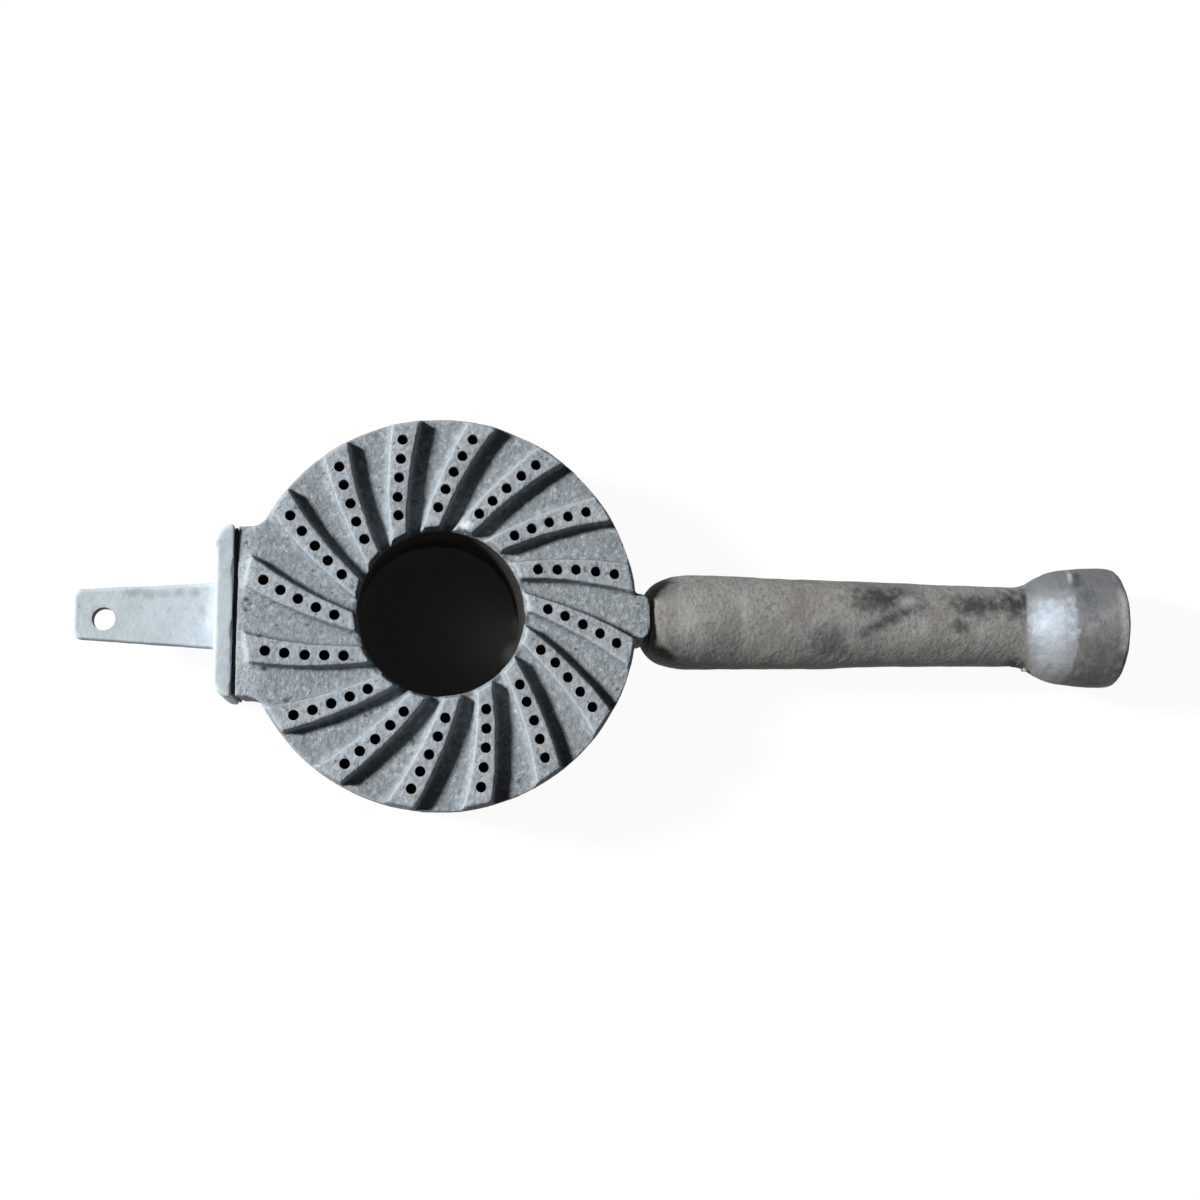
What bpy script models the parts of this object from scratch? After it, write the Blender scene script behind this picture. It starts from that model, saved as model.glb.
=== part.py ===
"""Cast iron ring gas burner.

A ribbed crown with curved rows of flame ports lies on an annular pan. A tapered mixing tube with a
bell mouth feeds the pan from one side, and a flange with a fixing lug closes the neck on the other.
The ring's axis is vertical, the tube points along +X, and the pan stands on z = 0.
"""
import math

import bmesh
import bpy
from mathutils import Matrix, Vector

MM = 0.001
GAP = 0.3 * MM                 # clearance between pieces that touch
WELD = 0.001 * MM
SPARE = 5.0 * MM               # how far a cutter reaches past what it cuts

# Reach of the whole burner to both sides of the ring's axis
LUG_REACH = 138.7 * MM
MOUTH_REACH = 271.5 * MM
RING_X = (LUG_REACH - MOUTH_REACH) / 2

# Ring and neck
RING_R = 75.0 * MM
HOLE_R = 31.4 * MM
WALL = 5.0 * MM
NECK_HALF = 32.2 * MM
NECK_END = -76.3 * MM
NECK_FILLET = 7.0 * MM
DUCT_END = -52.0 * MM          # the neck's duct opens into the ring's trough here
RING_STEPS = 72

# Heights
FLOOR_Z = 45.0 * MM            # crown's floor between the ribs
PLATE_T = 5.0 * MM
RIB_H = 5.0 * MM
GASKET_T = 1.2 * MM
CROWN_Z = FLOOR_Z - PLATE_T
PAN_TOP = CROWN_Z - GASKET_T - 2 * GAP
PAN_FLOOR = 5.0 * MM
TUBE_Z = 25.0 * MM

# Ribs and flame ports: each row of ports follows an arc that leans away from the radius
RIB_COUNT = 16
RIB_PHASE = math.radians(108.2)
RIB_LEAN = math.radians(21.1)
RIB_ARC = 160.0 * MM
RIB_HALF = 4.0 * MM            # half width of a rib's top at its middle port
RIB_WIDENING = 11.2            # a rib grows outwards by this share of its width for each metre
RIB_DRAFT = 0.18               # how far a rib's side leans out for each unit of depth
RIB_SINK = 2.5 * MM            # how far a rib's foot reaches into the plate
RIB_SLOPE = 1.0 * MM           # length of the slope at both ends of a rib
RIB_RIM = 0.35 * MM            # from a rib's end to the edge of the plate
PLATE_EDGE = 0.8 * MM          # rounding of the plate's upper edge
PORT_MID_R = 53.6 * MM
PORTS_PER_RIB = 5
PORT_PITCH = 7.3 * MM
PORT_R = 2.0 * MM
PORT_STEPS = 8
NOSE_REACH = 79.9 * MM
NOSE_HALF = 8.9 * MM

# Crown screws, from below
SCREW_RADIUS = 61.5 * MM
SCREW_R = 3.0 * MM
HEAD_R = 5.6 * MM
HEAD_H = 4.0 * MM
HEAD_POCKET = 8.0 * MM
POCKET_R = 6.8 * MM
PILLAR_R = 9.2 * MM
BOSS_R = 6.2 * MM
BOSS_Z = 33.0 * MM
TAPPED_TOP = CROWN_Z + 2.0 * MM
WASHER_R = 6.3 * MM
WASHER_T = 1.2 * MM

# Mixing tube
SPIGOT_START = 66.0 * MM
SOCKET_END = 79.3 * MM
TUBE_START = 80.9 * MM
SHOULDER_END = 98.0 * MM
TUBE_END = 230.7 * MM
TUBE_R = 18.8 * MM
TUBE_END_R = 15.8 * MM
TUBE_START_HALF = (9.8 * MM, 18.0 * MM)
SOCKET_HALF = (9.8 * MM, 15.5 * MM)
SPIGOT_HALF = (7.3 * MM, 12.7 * MM)
PASSAGE_HALF = (5.1 * MM, 10.5 * MM)
SPIGOT_Z = 22.6 * MM
GRUB_X = 74.3 * MM
WIDE_X = 112.0 * MM            # the passage is widest here
WIDE_R = 13.0 * MM
THROAT_X = 215.0 * MM
THROAT_R = 8.6 * MM
OVAL_POWER = 3.0               # 2 is an ellipse, larger is squarer

# Bell mouth
BELL_START = TUBE_END + GAP
BELL_SPIGOT = 240.0 * MM
BELL_SPIGOT_R = 12.5 * MM
BELL_R = 24.3 * MM
MOUTH_R = 20.8 * MM

# Tail flange and lug
FLANGE_T = 6.9 * MM
FLANGE_IN = -77.8 * MM
FLANGE_HALF = 32.4 * MM
FLANGE_LOW = 0.6 * MM
FLANGE_TOP = 46.3 * MM
FLANGE_ROLL = 0.024            # the plate stands a little higher on its +Y side
FLANGE_ROUND = 6.0 * MM
LUG_T = 7.0 * MM
LUG_ROOT_HALF = 12.4 * MM
LUG_TIP_HALF = 9.6 * MM
LUG_HOLE = (-127.2 * MM, -1.9 * MM)
LUG_HOLE_R = 4.4 * MM
TAIL_SCREW_Y = 25.5 * MM
TAIL_SCREW_Z = (8.5 * MM, 30.0 * MM)
TAIL_SCREW_R = 2.3 * MM
TAIL_HEAD_R = 4.8 * MM
TAIL_SCREW_L = 18.0 * MM
TAIL_BOSS_R = 5.6 * MM
TAIL_BOSS_L = 15.0 * MM
TAIL_HOLE_L = 12.5 * MM
TAIL_SINK = 3.0 * MM           # depth of the countersink

# Colours as linear RGB, with roughness and metallic
CAST_LIGHT = ((0.33, 0.37, 0.40), 0.62, 0.55)
CAST_BROWN = ((0.27, 0.26, 0.24), 0.66, 0.5)
CAST_BARE = ((0.45, 0.50, 0.54), 0.5, 0.7)
STEEL = ((0.42, 0.42, 0.43), 0.4, 1.0)
GRAPHITE = ((0.05, 0.05, 0.05), 0.8, 0.0)


def clear_scene():
    """Remove every object, so that the script can run twice."""
    for obj in list(bpy.data.objects):
        bpy.data.objects.remove(obj, do_unlink=True)


def new_collection(name):
    coll = bpy.data.collections.new(name)
    bpy.context.scene.collection.children.link(coll)
    return coll


clear_scene()
PARTS = new_collection("ring_burner")
CUTTERS = new_collection("cutters")
AXIS = bpy.data.objects.new("ring_axis", None)
AXIS.location = (RING_X, 0, 0)
PARTS.objects.link(AXIS)


def material(name, look):
    colour, roughness, metallic = look
    mat = bpy.data.materials.new(name)
    mat.use_nodes = True
    shader = mat.node_tree.nodes["Principled BSDF"]
    shader.inputs["Base Color"].default_value = (*colour, 1)
    shader.inputs["Roughness"].default_value = roughness
    shader.inputs["Metallic"].default_value = metallic
    return mat


def place(obj):
    """Put a shape with the cutters, measured from the ring's axis."""
    obj.parent = AXIS
    CUTTERS.objects.link(obj)
    obj.hide_render = True
    obj.display_type = "WIRE"
    return obj


def finish(obj, name, look, smooth=30):
    """Move a shape, with its cuts made, to the parts, with its name and its own material.

    Edges that turn by more than smooth degrees are kept sharp in the shading.
    """
    obj = applied(obj)
    CUTTERS.objects.unlink(obj)
    PARTS.objects.link(obj)
    obj.name = name
    obj.hide_render = False
    obj.display_type = "TEXTURED"
    obj.data.materials.clear()
    obj.data.materials.append(material(name + "_material", look))
    obj.data.shade_smooth()
    obj.data.set_sharp_from_angle(angle=math.radians(smooth))
    return obj


def mesh_object(name, bm):
    mesh = bpy.data.meshes.new(name)
    bm.to_mesh(mesh)
    bm.free()
    return place(bpy.data.objects.new(name, mesh))


def applied(obj):
    """Replace an object by a plain mesh of its evaluated shape."""
    bpy.context.view_layer.update()
    graph = bpy.context.evaluated_depsgraph_get()
    mesh = bpy.data.meshes.new_from_object(obj.evaluated_get(graph))
    bm = bmesh.new()
    bm.from_mesh(mesh)
    bpy.data.meshes.remove(mesh)
    bm.transform(obj.matrix_local)
    bmesh.ops.remove_doubles(bm, verts=bm.verts, dist=WELD)
    name = obj.name
    bpy.data.objects.remove(obj, do_unlink=True)
    return mesh_object(name, bm)


def boolean(obj, operation, tool):
    mod = obj.modifiers.new(operation.lower(), "BOOLEAN")
    mod.operation = operation
    mod.solver = "EXACT"
    mod.object = tool
    return obj


def arc(centre, radius, start, end, steps):
    """Points of an arc in degrees, both ends included."""
    points = []
    for i in range(steps + 1):
        a = math.radians(start + (end - start) * i / steps)
        points.append((centre[0] + radius * math.cos(a), centre[1] + radius * math.sin(a)))
    return points


def turned(name, profile, steps=RING_STEPS):
    """A closed profile of (radius, height), down its outer side first, turned round Z."""
    bm = bmesh.new()
    verts = [bm.verts.new((r, 0, z)) for r, z in profile]
    for i, vert in enumerate(verts):
        bm.edges.new((vert, verts[(i + 1) % len(verts)]))
    obj = mesh_object(name, bm)
    mod = obj.modifiers.new("turn", "SCREW")
    mod.axis = "Z"
    mod.steps = steps
    mod.render_steps = steps
    mod.use_merge_vertices = True
    mod.merge_threshold = 0.00001
    return obj


def slab(name, outline, low, high):
    """A flat outline made solid between two heights."""
    curve = bpy.data.curves.new(name, "CURVE")
    curve.dimensions = "2D"
    curve.fill_mode = "BOTH"
    curve.extrude = (high - low) / 2
    spline = curve.splines.new("POLY")
    spline.points.add(len(outline) - 1)
    for point, (x, y) in zip(spline.points, outline):
        point.co = (x, y, 0, 1)
    spline.use_cyclic_u = True
    obj = bpy.data.objects.new(name, curve)
    obj.location = (0, 0, (low + high) / 2)
    return applied(place(obj))


def loft(name, sections):
    """A closed skin through rings of equally many points, with both ends capped."""
    bm = bmesh.new()
    rings = [[bm.verts.new(p) for p in section] for section in sections]
    for lower, upper in zip(rings, rings[1:]):
        for i in range(len(lower)):
            j = (i + 1) % len(lower)
            bm.faces.new((lower[i], lower[j], upper[j], upper[i]))
    bm.faces.new(rings[0][::-1])
    bm.faces.new(rings[-1])
    bmesh.ops.recalc_face_normals(bm, faces=bm.faces)
    return mesh_object(name, bm)


def rod(name, radius, low, high, at=(0, 0), axis="Z", steps=20, top_radius=None):
    """A cylinder or cone between two stations along an axis; at is its place across that axis."""
    bm = bmesh.new()
    end = radius if top_radius is None else top_radius
    bmesh.ops.create_cone(bm, cap_ends=True, segments=steps, radius1=radius, radius2=end, depth=high - low)
    middle = (low + high) / 2
    if axis == "Z":
        bm.transform(Matrix.Translation((at[0], at[1], middle)))
    elif axis == "X":
        bm.transform(Matrix.Translation((middle, at[0], at[1])) @ Matrix.Rotation(math.pi / 2, 4, "Y"))
    else:
        bm.transform(Matrix.Translation((at[0], middle, at[1])) @ Matrix.Rotation(-math.pi / 2, 4, "X"))
    return mesh_object(name, bm)


def box(name, low, high):
    bm = bmesh.new()
    bmesh.ops.create_cube(bm, size=1)
    size = Vector(high) - Vector(low)
    bm.transform(Matrix.Translation((Vector(low) + Vector(high)) / 2) @ Matrix.Diagonal((*size, 1)))
    return mesh_object(name, bm)


def copies(name, obj, matrices):
    """One mesh that holds the shape at each of the given places."""
    bm = bmesh.new()
    for matrix in matrices:
        source = obj.data.copy()
        source.transform(matrix)
        bm.from_mesh(source)
        bpy.data.meshes.remove(source)
    bpy.data.objects.remove(obj, do_unlink=True)
    return mesh_object(name, bm)


def outline(inset=0.0):
    """The ring with its neck: the ring's arc, two hollow fillets and the neck's square end."""
    radius = RING_R - inset
    half = NECK_HALF - inset
    fillet = NECK_FILLET + inset
    centre_y = half + fillet
    centre_x = -math.sqrt((radius + fillet) ** 2 - centre_y ** 2)
    turn = math.degrees(math.atan2(centre_y, -centre_x))
    points = arc((0, 0), radius, -180 + turn, 180 - turn, 62)
    points += arc((centre_x, centre_y), fillet, -turn, -90, 5)[1:]
    points += [(NECK_END, half), (NECK_END, -half)]
    points += arc((centre_x, -centre_y), fillet, 90, turn, 5)[:-1]
    return points


def raised(points, z):
    return [(x, y, z) for x, y in points]


def rib_point(s):
    """A point at distance s along the row's arc, from its middle port, for a row on +X."""
    a = RIB_LEAN + s / RIB_ARC
    x = PORT_MID_R + RIB_ARC * (math.sin(a) - math.sin(RIB_LEAN))
    y = RIB_ARC * (math.cos(a) - math.cos(RIB_LEAN))
    return x, y


def rib_turns():
    return [Matrix.Rotation(RIB_PHASE + i * 2 * math.pi / RIB_COUNT, 4, "Z") for i in range(RIB_COUNT)]


def rib_bars():
    """All ribs as drafted bars swept along their arcs, cut to the ring by a turned blank."""
    top = FLOOR_Z + RIB_H
    spare = 1 * MM
    rise = RIB_H + RIB_SINK
    profile = bpy.data.curves.new("rib_profile", "CURVE")
    spline = profile.splines.new("POLY")
    upper = RIB_HALF - RIB_DRAFT * spare
    lower = RIB_HALF + RIB_DRAFT * rise
    shape = [(-lower, -rise), (-upper, spare), (upper, spare), (lower, -rise)]
    spline.points.add(len(shape) - 1)
    for point, (x, y) in zip(spline.points, shape):
        point.co = (x, y, 0, 1)
    spline.use_cyclic_u = True
    guide = place(bpy.data.objects.new("rib_profile", profile))
    path = bpy.data.curves.new("rib_path", "CURVE")
    path.dimensions = "3D"
    path.twist_mode = "Z_UP"
    path.bevel_mode = "OBJECT"
    path.bevel_object = guide
    path.use_fill_caps = True
    stations = [-27 + 6.5 * i for i in range(9)]
    line = path.splines.new("POLY")
    line.points.add(len(stations) - 1)
    for point, s in zip(line.points, stations):
        x, y = rib_point(s * MM)
        point.co = (x, y, top, 1)
        point.radius = 1 + RIB_WIDENING * s * MM
    bar = applied(place(bpy.data.objects.new("rib_bar", path)))
    bm = bmesh.new()
    bm.from_mesh(bar.data)
    bmesh.ops.recalc_face_normals(bm, faces=bm.faces)
    bm.to_mesh(bar.data)
    bm.free()
    bars = copies("rib_bars", bar, rib_turns())
    inner = HOLE_R + RIB_RIM
    outer = RING_R - RIB_RIM
    blank = turned("rib_blank", [
        (inner + RIB_SLOPE, top),
        (outer - RIB_SLOPE, top),
        (outer, FLOOR_Z + 0.8 * MM),
        (outer, FLOOR_Z - RIB_SINK + 1 * MM),
        (inner, FLOOR_Z - RIB_SINK + 1 * MM),
        (inner, FLOOR_Z + 1.2 * MM),
    ])
    return boolean(bars, "INTERSECT", blank)


def port_drills():
    """One drill for each flame port."""
    drill = rod("drill", PORT_R, CROWN_Z - SPARE, FLOOR_Z + RIB_H + SPARE, steps=PORT_STEPS)
    places = []
    for turn in rib_turns():
        for i in range(PORTS_PER_RIB):
            x, y = rib_point((i - (PORTS_PER_RIB - 1) / 2) * PORT_PITCH)
            places.append(turn @ Matrix.Translation((x, y, 0)))
    return copies("port_drills", drill, places)


def screw_places():
    """The crown screws stand between rows of ports, a quarter turn apart."""
    s = SCREW_RADIUS - PORT_MID_R
    x, y = rib_point(s)
    between = RIB_PHASE + math.atan2(y, x) + math.pi / RIB_COUNT
    first = Vector((SCREW_RADIUS, 0, 0))
    return [Matrix.Rotation(between + i * math.pi / 2, 4, "Z") @ first for i in range(4)]


def tail_places():
    """The four tail screws, across the tube's axis."""
    return [(side * TAIL_SCREW_Y, z) for side in (-1, 1) for z in TAIL_SCREW_Z]


def at_screws(name, radius, low, high, steps=20):
    tool = rod(name + "_one", radius, low, high, steps=steps)
    return copies(name, tool, [Matrix.Translation(p) for p in screw_places()])


def make_crown():
    crown = loft("crown_plate", [
        raised(outline(), CROWN_Z),
        raised(outline(), FLOOR_Z - PLATE_EDGE),
        raised(outline(PLATE_EDGE * 0.6), FLOOR_Z),
    ])
    nose = slab("nose", nose_outline(), CROWN_Z, FLOOR_Z)
    boolean(crown, "UNION", nose)
    boolean(crown, "UNION", rib_bars())
    boolean(crown, "UNION", at_screws("crown_bosses", BOSS_R, BOSS_Z, CROWN_Z + 1 * MM))
    hole = rod("crown_hole", HOLE_R, CROWN_Z - SPARE, FLOOR_Z + RIB_H + SPARE, steps=RING_STEPS)
    boolean(crown, "DIFFERENCE", hole)
    boolean(crown, "DIFFERENCE", port_drills())
    boolean(crown, "DIFFERENCE", at_screws("tapped_holes", SCREW_R + GAP, BOSS_Z - SPARE, TAPPED_TOP, 12))
    return finish(crown, "crown", CAST_LIGHT)


def nose_outline():
    """The tongue over the mixing tube: square at its root, with round corners at its tip."""
    corner = 4.5 * MM
    reach = NOSE_REACH - corner
    half = NOSE_HALF - corner
    points = [(RING_R - 12 * MM, -NOSE_HALF)]
    points += arc((reach, -half), corner, -90, 0, 5)
    points += arc((reach, half), corner, 0, 90, 5)
    points += [(RING_R - 12 * MM, NOSE_HALF)]
    return points


def oval(x, half, z, power, steps=32):
    """A superellipse across the tube: half width in Y and half height in Z."""
    points = []
    for i in range(steps):
        a = 2 * math.pi * i / steps
        c = math.cos(a)
        s = math.sin(a)
        y = half[0] * math.copysign(abs(c) ** (2 / power), c)
        points.append((x, y, z + half[1] * math.copysign(abs(s) ** (2 / power), s)))
    return points


def blend(a, b, t):
    return a + (b - a) * t


def make_pan():
    pan = loft("pan_block", [
        raised(outline(3.0 * MM), 0),
        raised(outline(1.4 * MM), 1.2 * MM),
        raised(outline(1.0 * MM), 4.0 * MM),
        raised(outline(), PAN_TOP),
    ])
    socket = loft("socket", [
        oval(RING_R - 8 * MM, SOCKET_HALF, SPIGOT_Z, OVAL_POWER),
        oval(SOCKET_END, SOCKET_HALF, SPIGOT_Z, OVAL_POWER),
    ])
    boolean(pan, "UNION", socket)
    pad = rod("set_screw_pad", 4.8 * MM, 2.5 * MM, 12 * MM, at=(GRUB_X, 0))
    boolean(pan, "UNION", pad)
    hole = rod("pan_hole", HOLE_R + 1.0 * MM, -1 * MM, PAN_TOP + 1 * MM, steps=RING_STEPS, top_radius=HOLE_R)
    boolean(pan, "DIFFERENCE", hole)
    inner = HOLE_R + WALL
    outer = RING_R - WALL
    trough = turned("trough", [
        (outer, PAN_TOP + SPARE),
        (outer - 1.0 * MM, PAN_FLOOR + 4 * MM),
        (outer - 2.2 * MM, PAN_FLOOR + 1.2 * MM),
        (outer - 5.0 * MM, PAN_FLOOR),
        (inner + 5.0 * MM, PAN_FLOOR),
        (inner + 1.6 * MM, PAN_FLOOR + 1.2 * MM),
        (inner + 0.8 * MM, PAN_FLOOR + 4 * MM),
        (inner, PAN_TOP + SPARE),
    ])
    boolean(pan, "DIFFERENCE", trough)
    duct_half = NECK_HALF - WALL
    duct = box("duct", (NECK_END - SPARE, -duct_half, PAN_FLOOR + 2 * MM),
               (DUCT_END, duct_half, PAN_TOP + SPARE))
    boolean(pan, "DIFFERENCE", duct)
    for spot in tail_places():
        boss = rod("tail_boss", TAIL_BOSS_R, NECK_END, NECK_END + TAIL_BOSS_L, at=spot, axis="X")
        boolean(pan, "UNION", boss)
    boolean(pan, "UNION", at_screws("pillars", PILLAR_R, PAN_FLOOR - 1 * MM, BOSS_Z - GAP, 24))
    boolean(pan, "DIFFERENCE", at_screws("head_pockets", POCKET_R, -1 * MM, HEAD_POCKET, 24))
    boolean(pan, "DIFFERENCE", at_screws("screw_holes", SCREW_R + GAP, -1 * MM, PAN_TOP, 12))
    bore = loft("socket_bore", [
        oval(SPIGOT_START - 1 * MM, grown(SPIGOT_HALF, GAP), SPIGOT_Z, OVAL_POWER),
        oval(SOCKET_END + SPARE, grown(SPIGOT_HALF, GAP), SPIGOT_Z, OVAL_POWER),
    ])
    boolean(pan, "DIFFERENCE", bore)
    grub = rod("grub_hole", SCREW_R, 0, 14 * MM, at=(GRUB_X, 0), steps=14)
    boolean(pan, "DIFFERENCE", grub)
    for spot in tail_places():
        hole = rod("tail_hole", TAIL_SCREW_R + GAP, NECK_END - SPARE, NECK_END + TAIL_HOLE_L,
                   at=spot, axis="X", steps=12)
        boolean(pan, "DIFFERENCE", hole)
    return finish(pan, "pan", CAST_BROWN)


def grown(half, by):
    return half[0] + by, half[1] + by


def make_gaskets():
    low = PAN_TOP + GAP
    high = low + GASKET_T
    band = slab("outer_band", outline(0.8 * MM), low, high)
    inside = rod("band_round", RING_R - WALL + 0.6 * MM, low - SPARE, high + SPARE, steps=RING_STEPS)
    boolean(band, "DIFFERENCE", inside)
    half = NECK_HALF - WALL + 0.6 * MM
    duct = box("band_duct", (NECK_END - SPARE, -half, low - SPARE), (DUCT_END + 2 * MM, half, high + SPARE))
    boolean(band, "DIFFERENCE", duct)
    finish(band, "crown_gasket_outer", GRAPHITE)
    ring = turned("inner_band", [
        (HOLE_R + WALL - 0.5 * MM, high),
        (HOLE_R + WALL - 0.5 * MM, low),
        (HOLE_R + 0.8 * MM, low),
        (HOLE_R + 0.8 * MM, high),
    ], 48)
    finish(ring, "crown_gasket_inner", GRAPHITE)
    start = SOCKET_END + GAP
    end = TUBE_START - GAP
    seal = loft("tube_seal", [
        oval(start, grown(SOCKET_HALF, -0.4 * MM), SPIGOT_Z, OVAL_POWER),
        oval(end, grown(SOCKET_HALF, -0.4 * MM), SPIGOT_Z, OVAL_POWER),
    ])
    window = loft("seal_window", [
        oval(start - 1 * MM, grown(SPIGOT_HALF, GAP), SPIGOT_Z, OVAL_POWER),
        oval(end + 1 * MM, grown(SPIGOT_HALF, GAP), SPIGOT_Z, OVAL_POWER),
    ])
    boolean(seal, "DIFFERENCE", window)
    finish(seal, "tube_gasket", GRAPHITE)
    tail = box("tail_seal", (FLANGE_IN + GAP, -NECK_HALF + 0.8 * MM, 2.5 * MM),
               (NECK_END - GAP, NECK_HALF - 0.8 * MM, FLOOR_Z - 1.2 * MM))
    boolean(tail, "DIFFERENCE", box("seal_opening", (FLANGE_IN - 1 * MM, -19 * MM, 14 * MM),
                                    (NECK_END + 1 * MM, 19 * MM, 36 * MM)))
    for spot in tail_places():
        hole = rod("seal_hole", TAIL_SCREW_R + GAP, FLANGE_IN - SPARE, NECK_END + SPARE,
                   at=spot, axis="X", steps=16)
        boolean(tail, "DIFFERENCE", hole)
    finish(tail, "tail_gasket", GRAPHITE)


def tube_radius(x):
    """Outer radius of the round part of the tube, which tapers towards the bell."""
    return blend(TUBE_R, TUBE_END_R, (x - SHOULDER_END) / (TUBE_END - SHOULDER_END))


def make_tube():
    sections = [
        oval(SPIGOT_START, grown(SPIGOT_HALF, -0.5 * MM), SPIGOT_Z, OVAL_POWER),
        oval(SPIGOT_START + 1 * MM, SPIGOT_HALF, SPIGOT_Z, OVAL_POWER),
        oval(TUBE_START, SPIGOT_HALF, SPIGOT_Z, OVAL_POWER),
    ]
    for i in range(9):
        a = math.radians(90 * i / 8)
        x = SHOULDER_END - (SHOULDER_END - TUBE_START) * math.cos(a)
        half = [blend(size, TUBE_R, math.sin(a)) for size in TUBE_START_HALF]
        sections.append(oval(x, half, TUBE_Z, blend(OVAL_POWER, 2, i / 8)))
    for i in range(1, 9):
        x = blend(SHOULDER_END, TUBE_END, i / 8)
        sections.append(oval(x, (tube_radius(x),) * 2, TUBE_Z, 2))
    sections.append(oval(TUBE_END, (BELL_SPIGOT_R,) * 2, TUBE_Z, 2))
    sections.append(oval(BELL_SPIGOT, (BELL_SPIGOT_R,) * 2, TUBE_Z, 2))
    tube = loft("tube_skin", sections)
    passage = [oval(SPIGOT_START - 1 * MM, PASSAGE_HALF, SPIGOT_Z, OVAL_POWER)]
    for i in range(9):
        t = i / 8
        ease = t * t * (3 - 2 * t)
        half = [blend(size, WIDE_R, ease) for size in PASSAGE_HALF]
        x = blend(TUBE_START, WIDE_X, t)
        passage.append(oval(x, half, blend(SPIGOT_Z, TUBE_Z, ease), blend(OVAL_POWER, 2, t)))
    passage.append(oval(THROAT_X, (THROAT_R,) * 2, TUBE_Z, 2))
    passage.append(oval(TUBE_END, (THROAT_R,) * 2, TUBE_Z, 2))
    passage.append(oval(BELL_SPIGOT, (THROAT_R + 1.5 * MM,) * 2, TUBE_Z, 2))
    passage.append(oval(BELL_SPIGOT + 1 * MM, (THROAT_R + 1.7 * MM,) * 2, TUBE_Z, 2))
    boolean(tube, "DIFFERENCE", loft("tube_passage", passage))
    return finish(tube, "mixing_tube", CAST_BROWN)


def make_bell():
    """Turned round Z with the mouth upwards, then laid along the tube's axis."""
    start = BELL_START
    flare = [
        (MOUTH_REACH, BELL_R - 1.3 * MM),
        (MOUTH_REACH - 0.7 * MM, BELL_R - 0.6 * MM),
        (MOUTH_REACH - 2.2 * MM, BELL_R - 0.2 * MM),
        (MOUTH_REACH - 6.0 * MM, BELL_R),
        (start + 26.3 * MM, 23.8 * MM),
        (start + 18.0 * MM, 22.9 * MM),
        (start + 14.0 * MM, 21.9 * MM),
        (start + 9.8 * MM, 20.1 * MM),
        (start + 5.6 * MM, 17.6 * MM),
        (start + 2.6 * MM, 16.5 * MM),
        (start, 16.1 * MM),
        (start, BELL_SPIGOT_R + GAP),
        (BELL_SPIGOT + GAP, BELL_SPIGOT_R + GAP),
        (BELL_SPIGOT + GAP, THROAT_R + 1.6 * MM),
        (BELL_SPIGOT + 3.3 * MM, THROAT_R + 4.0 * MM),
        (BELL_SPIGOT + 7.0 * MM, THROAT_R + 8.4 * MM),
        (BELL_SPIGOT + 11.0 * MM, MOUTH_R - 1.4 * MM),
        (BELL_SPIGOT + 15.0 * MM, MOUTH_R - 0.6 * MM),
        (MOUTH_REACH - 1.0 * MM, MOUTH_R - 0.2 * MM),
        (MOUTH_REACH, MOUTH_R + 0.2 * MM),
    ]
    bell = turned("bell_turned", [(r, x) for x, r in flare], 40)
    bell.matrix_local = Matrix.Translation((0, 0, TUBE_Z)) @ Matrix.Rotation(math.pi / 2, 4, "Y")
    grub = rod("bell_grub_hole", 2.1 * MM, -25 * MM, -BELL_SPIGOT_R + 1 * MM,
               at=(start + 5 * MM, TUBE_Z), axis="Y", steps=14)
    boolean(bell, "DIFFERENCE", grub)
    return finish(bell, "bell_mouth", CAST_BARE, 35)


def make_grub_screws():
    low = 3.2 * MM
    high = SPIGOT_Z - SPIGOT_HALF[1] - GAP
    grub = rod("grub", SCREW_R - GAP, low, high, at=(GRUB_X, 0), steps=14)
    socket = rod("grub_socket", 1.6 * MM, low - 1 * MM, low + 2.5 * MM, at=(GRUB_X, 0), steps=6)
    finish(boolean(grub, "DIFFERENCE", socket), "tube_set_screw", STEEL)
    across = (BELL_START + 5 * MM, TUBE_Z)
    outer = -17.9 * MM
    grub = rod("grub", 1.8 * MM, outer, -BELL_SPIGOT_R - GAP, at=across, axis="Y", steps=14)
    socket = rod("grub_socket", 1.0 * MM, outer - 1 * MM, outer + 2 * MM, at=across, axis="Y", steps=6)
    finish(boolean(grub, "DIFFERENCE", socket), "bell_set_screw", STEEL)


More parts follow.
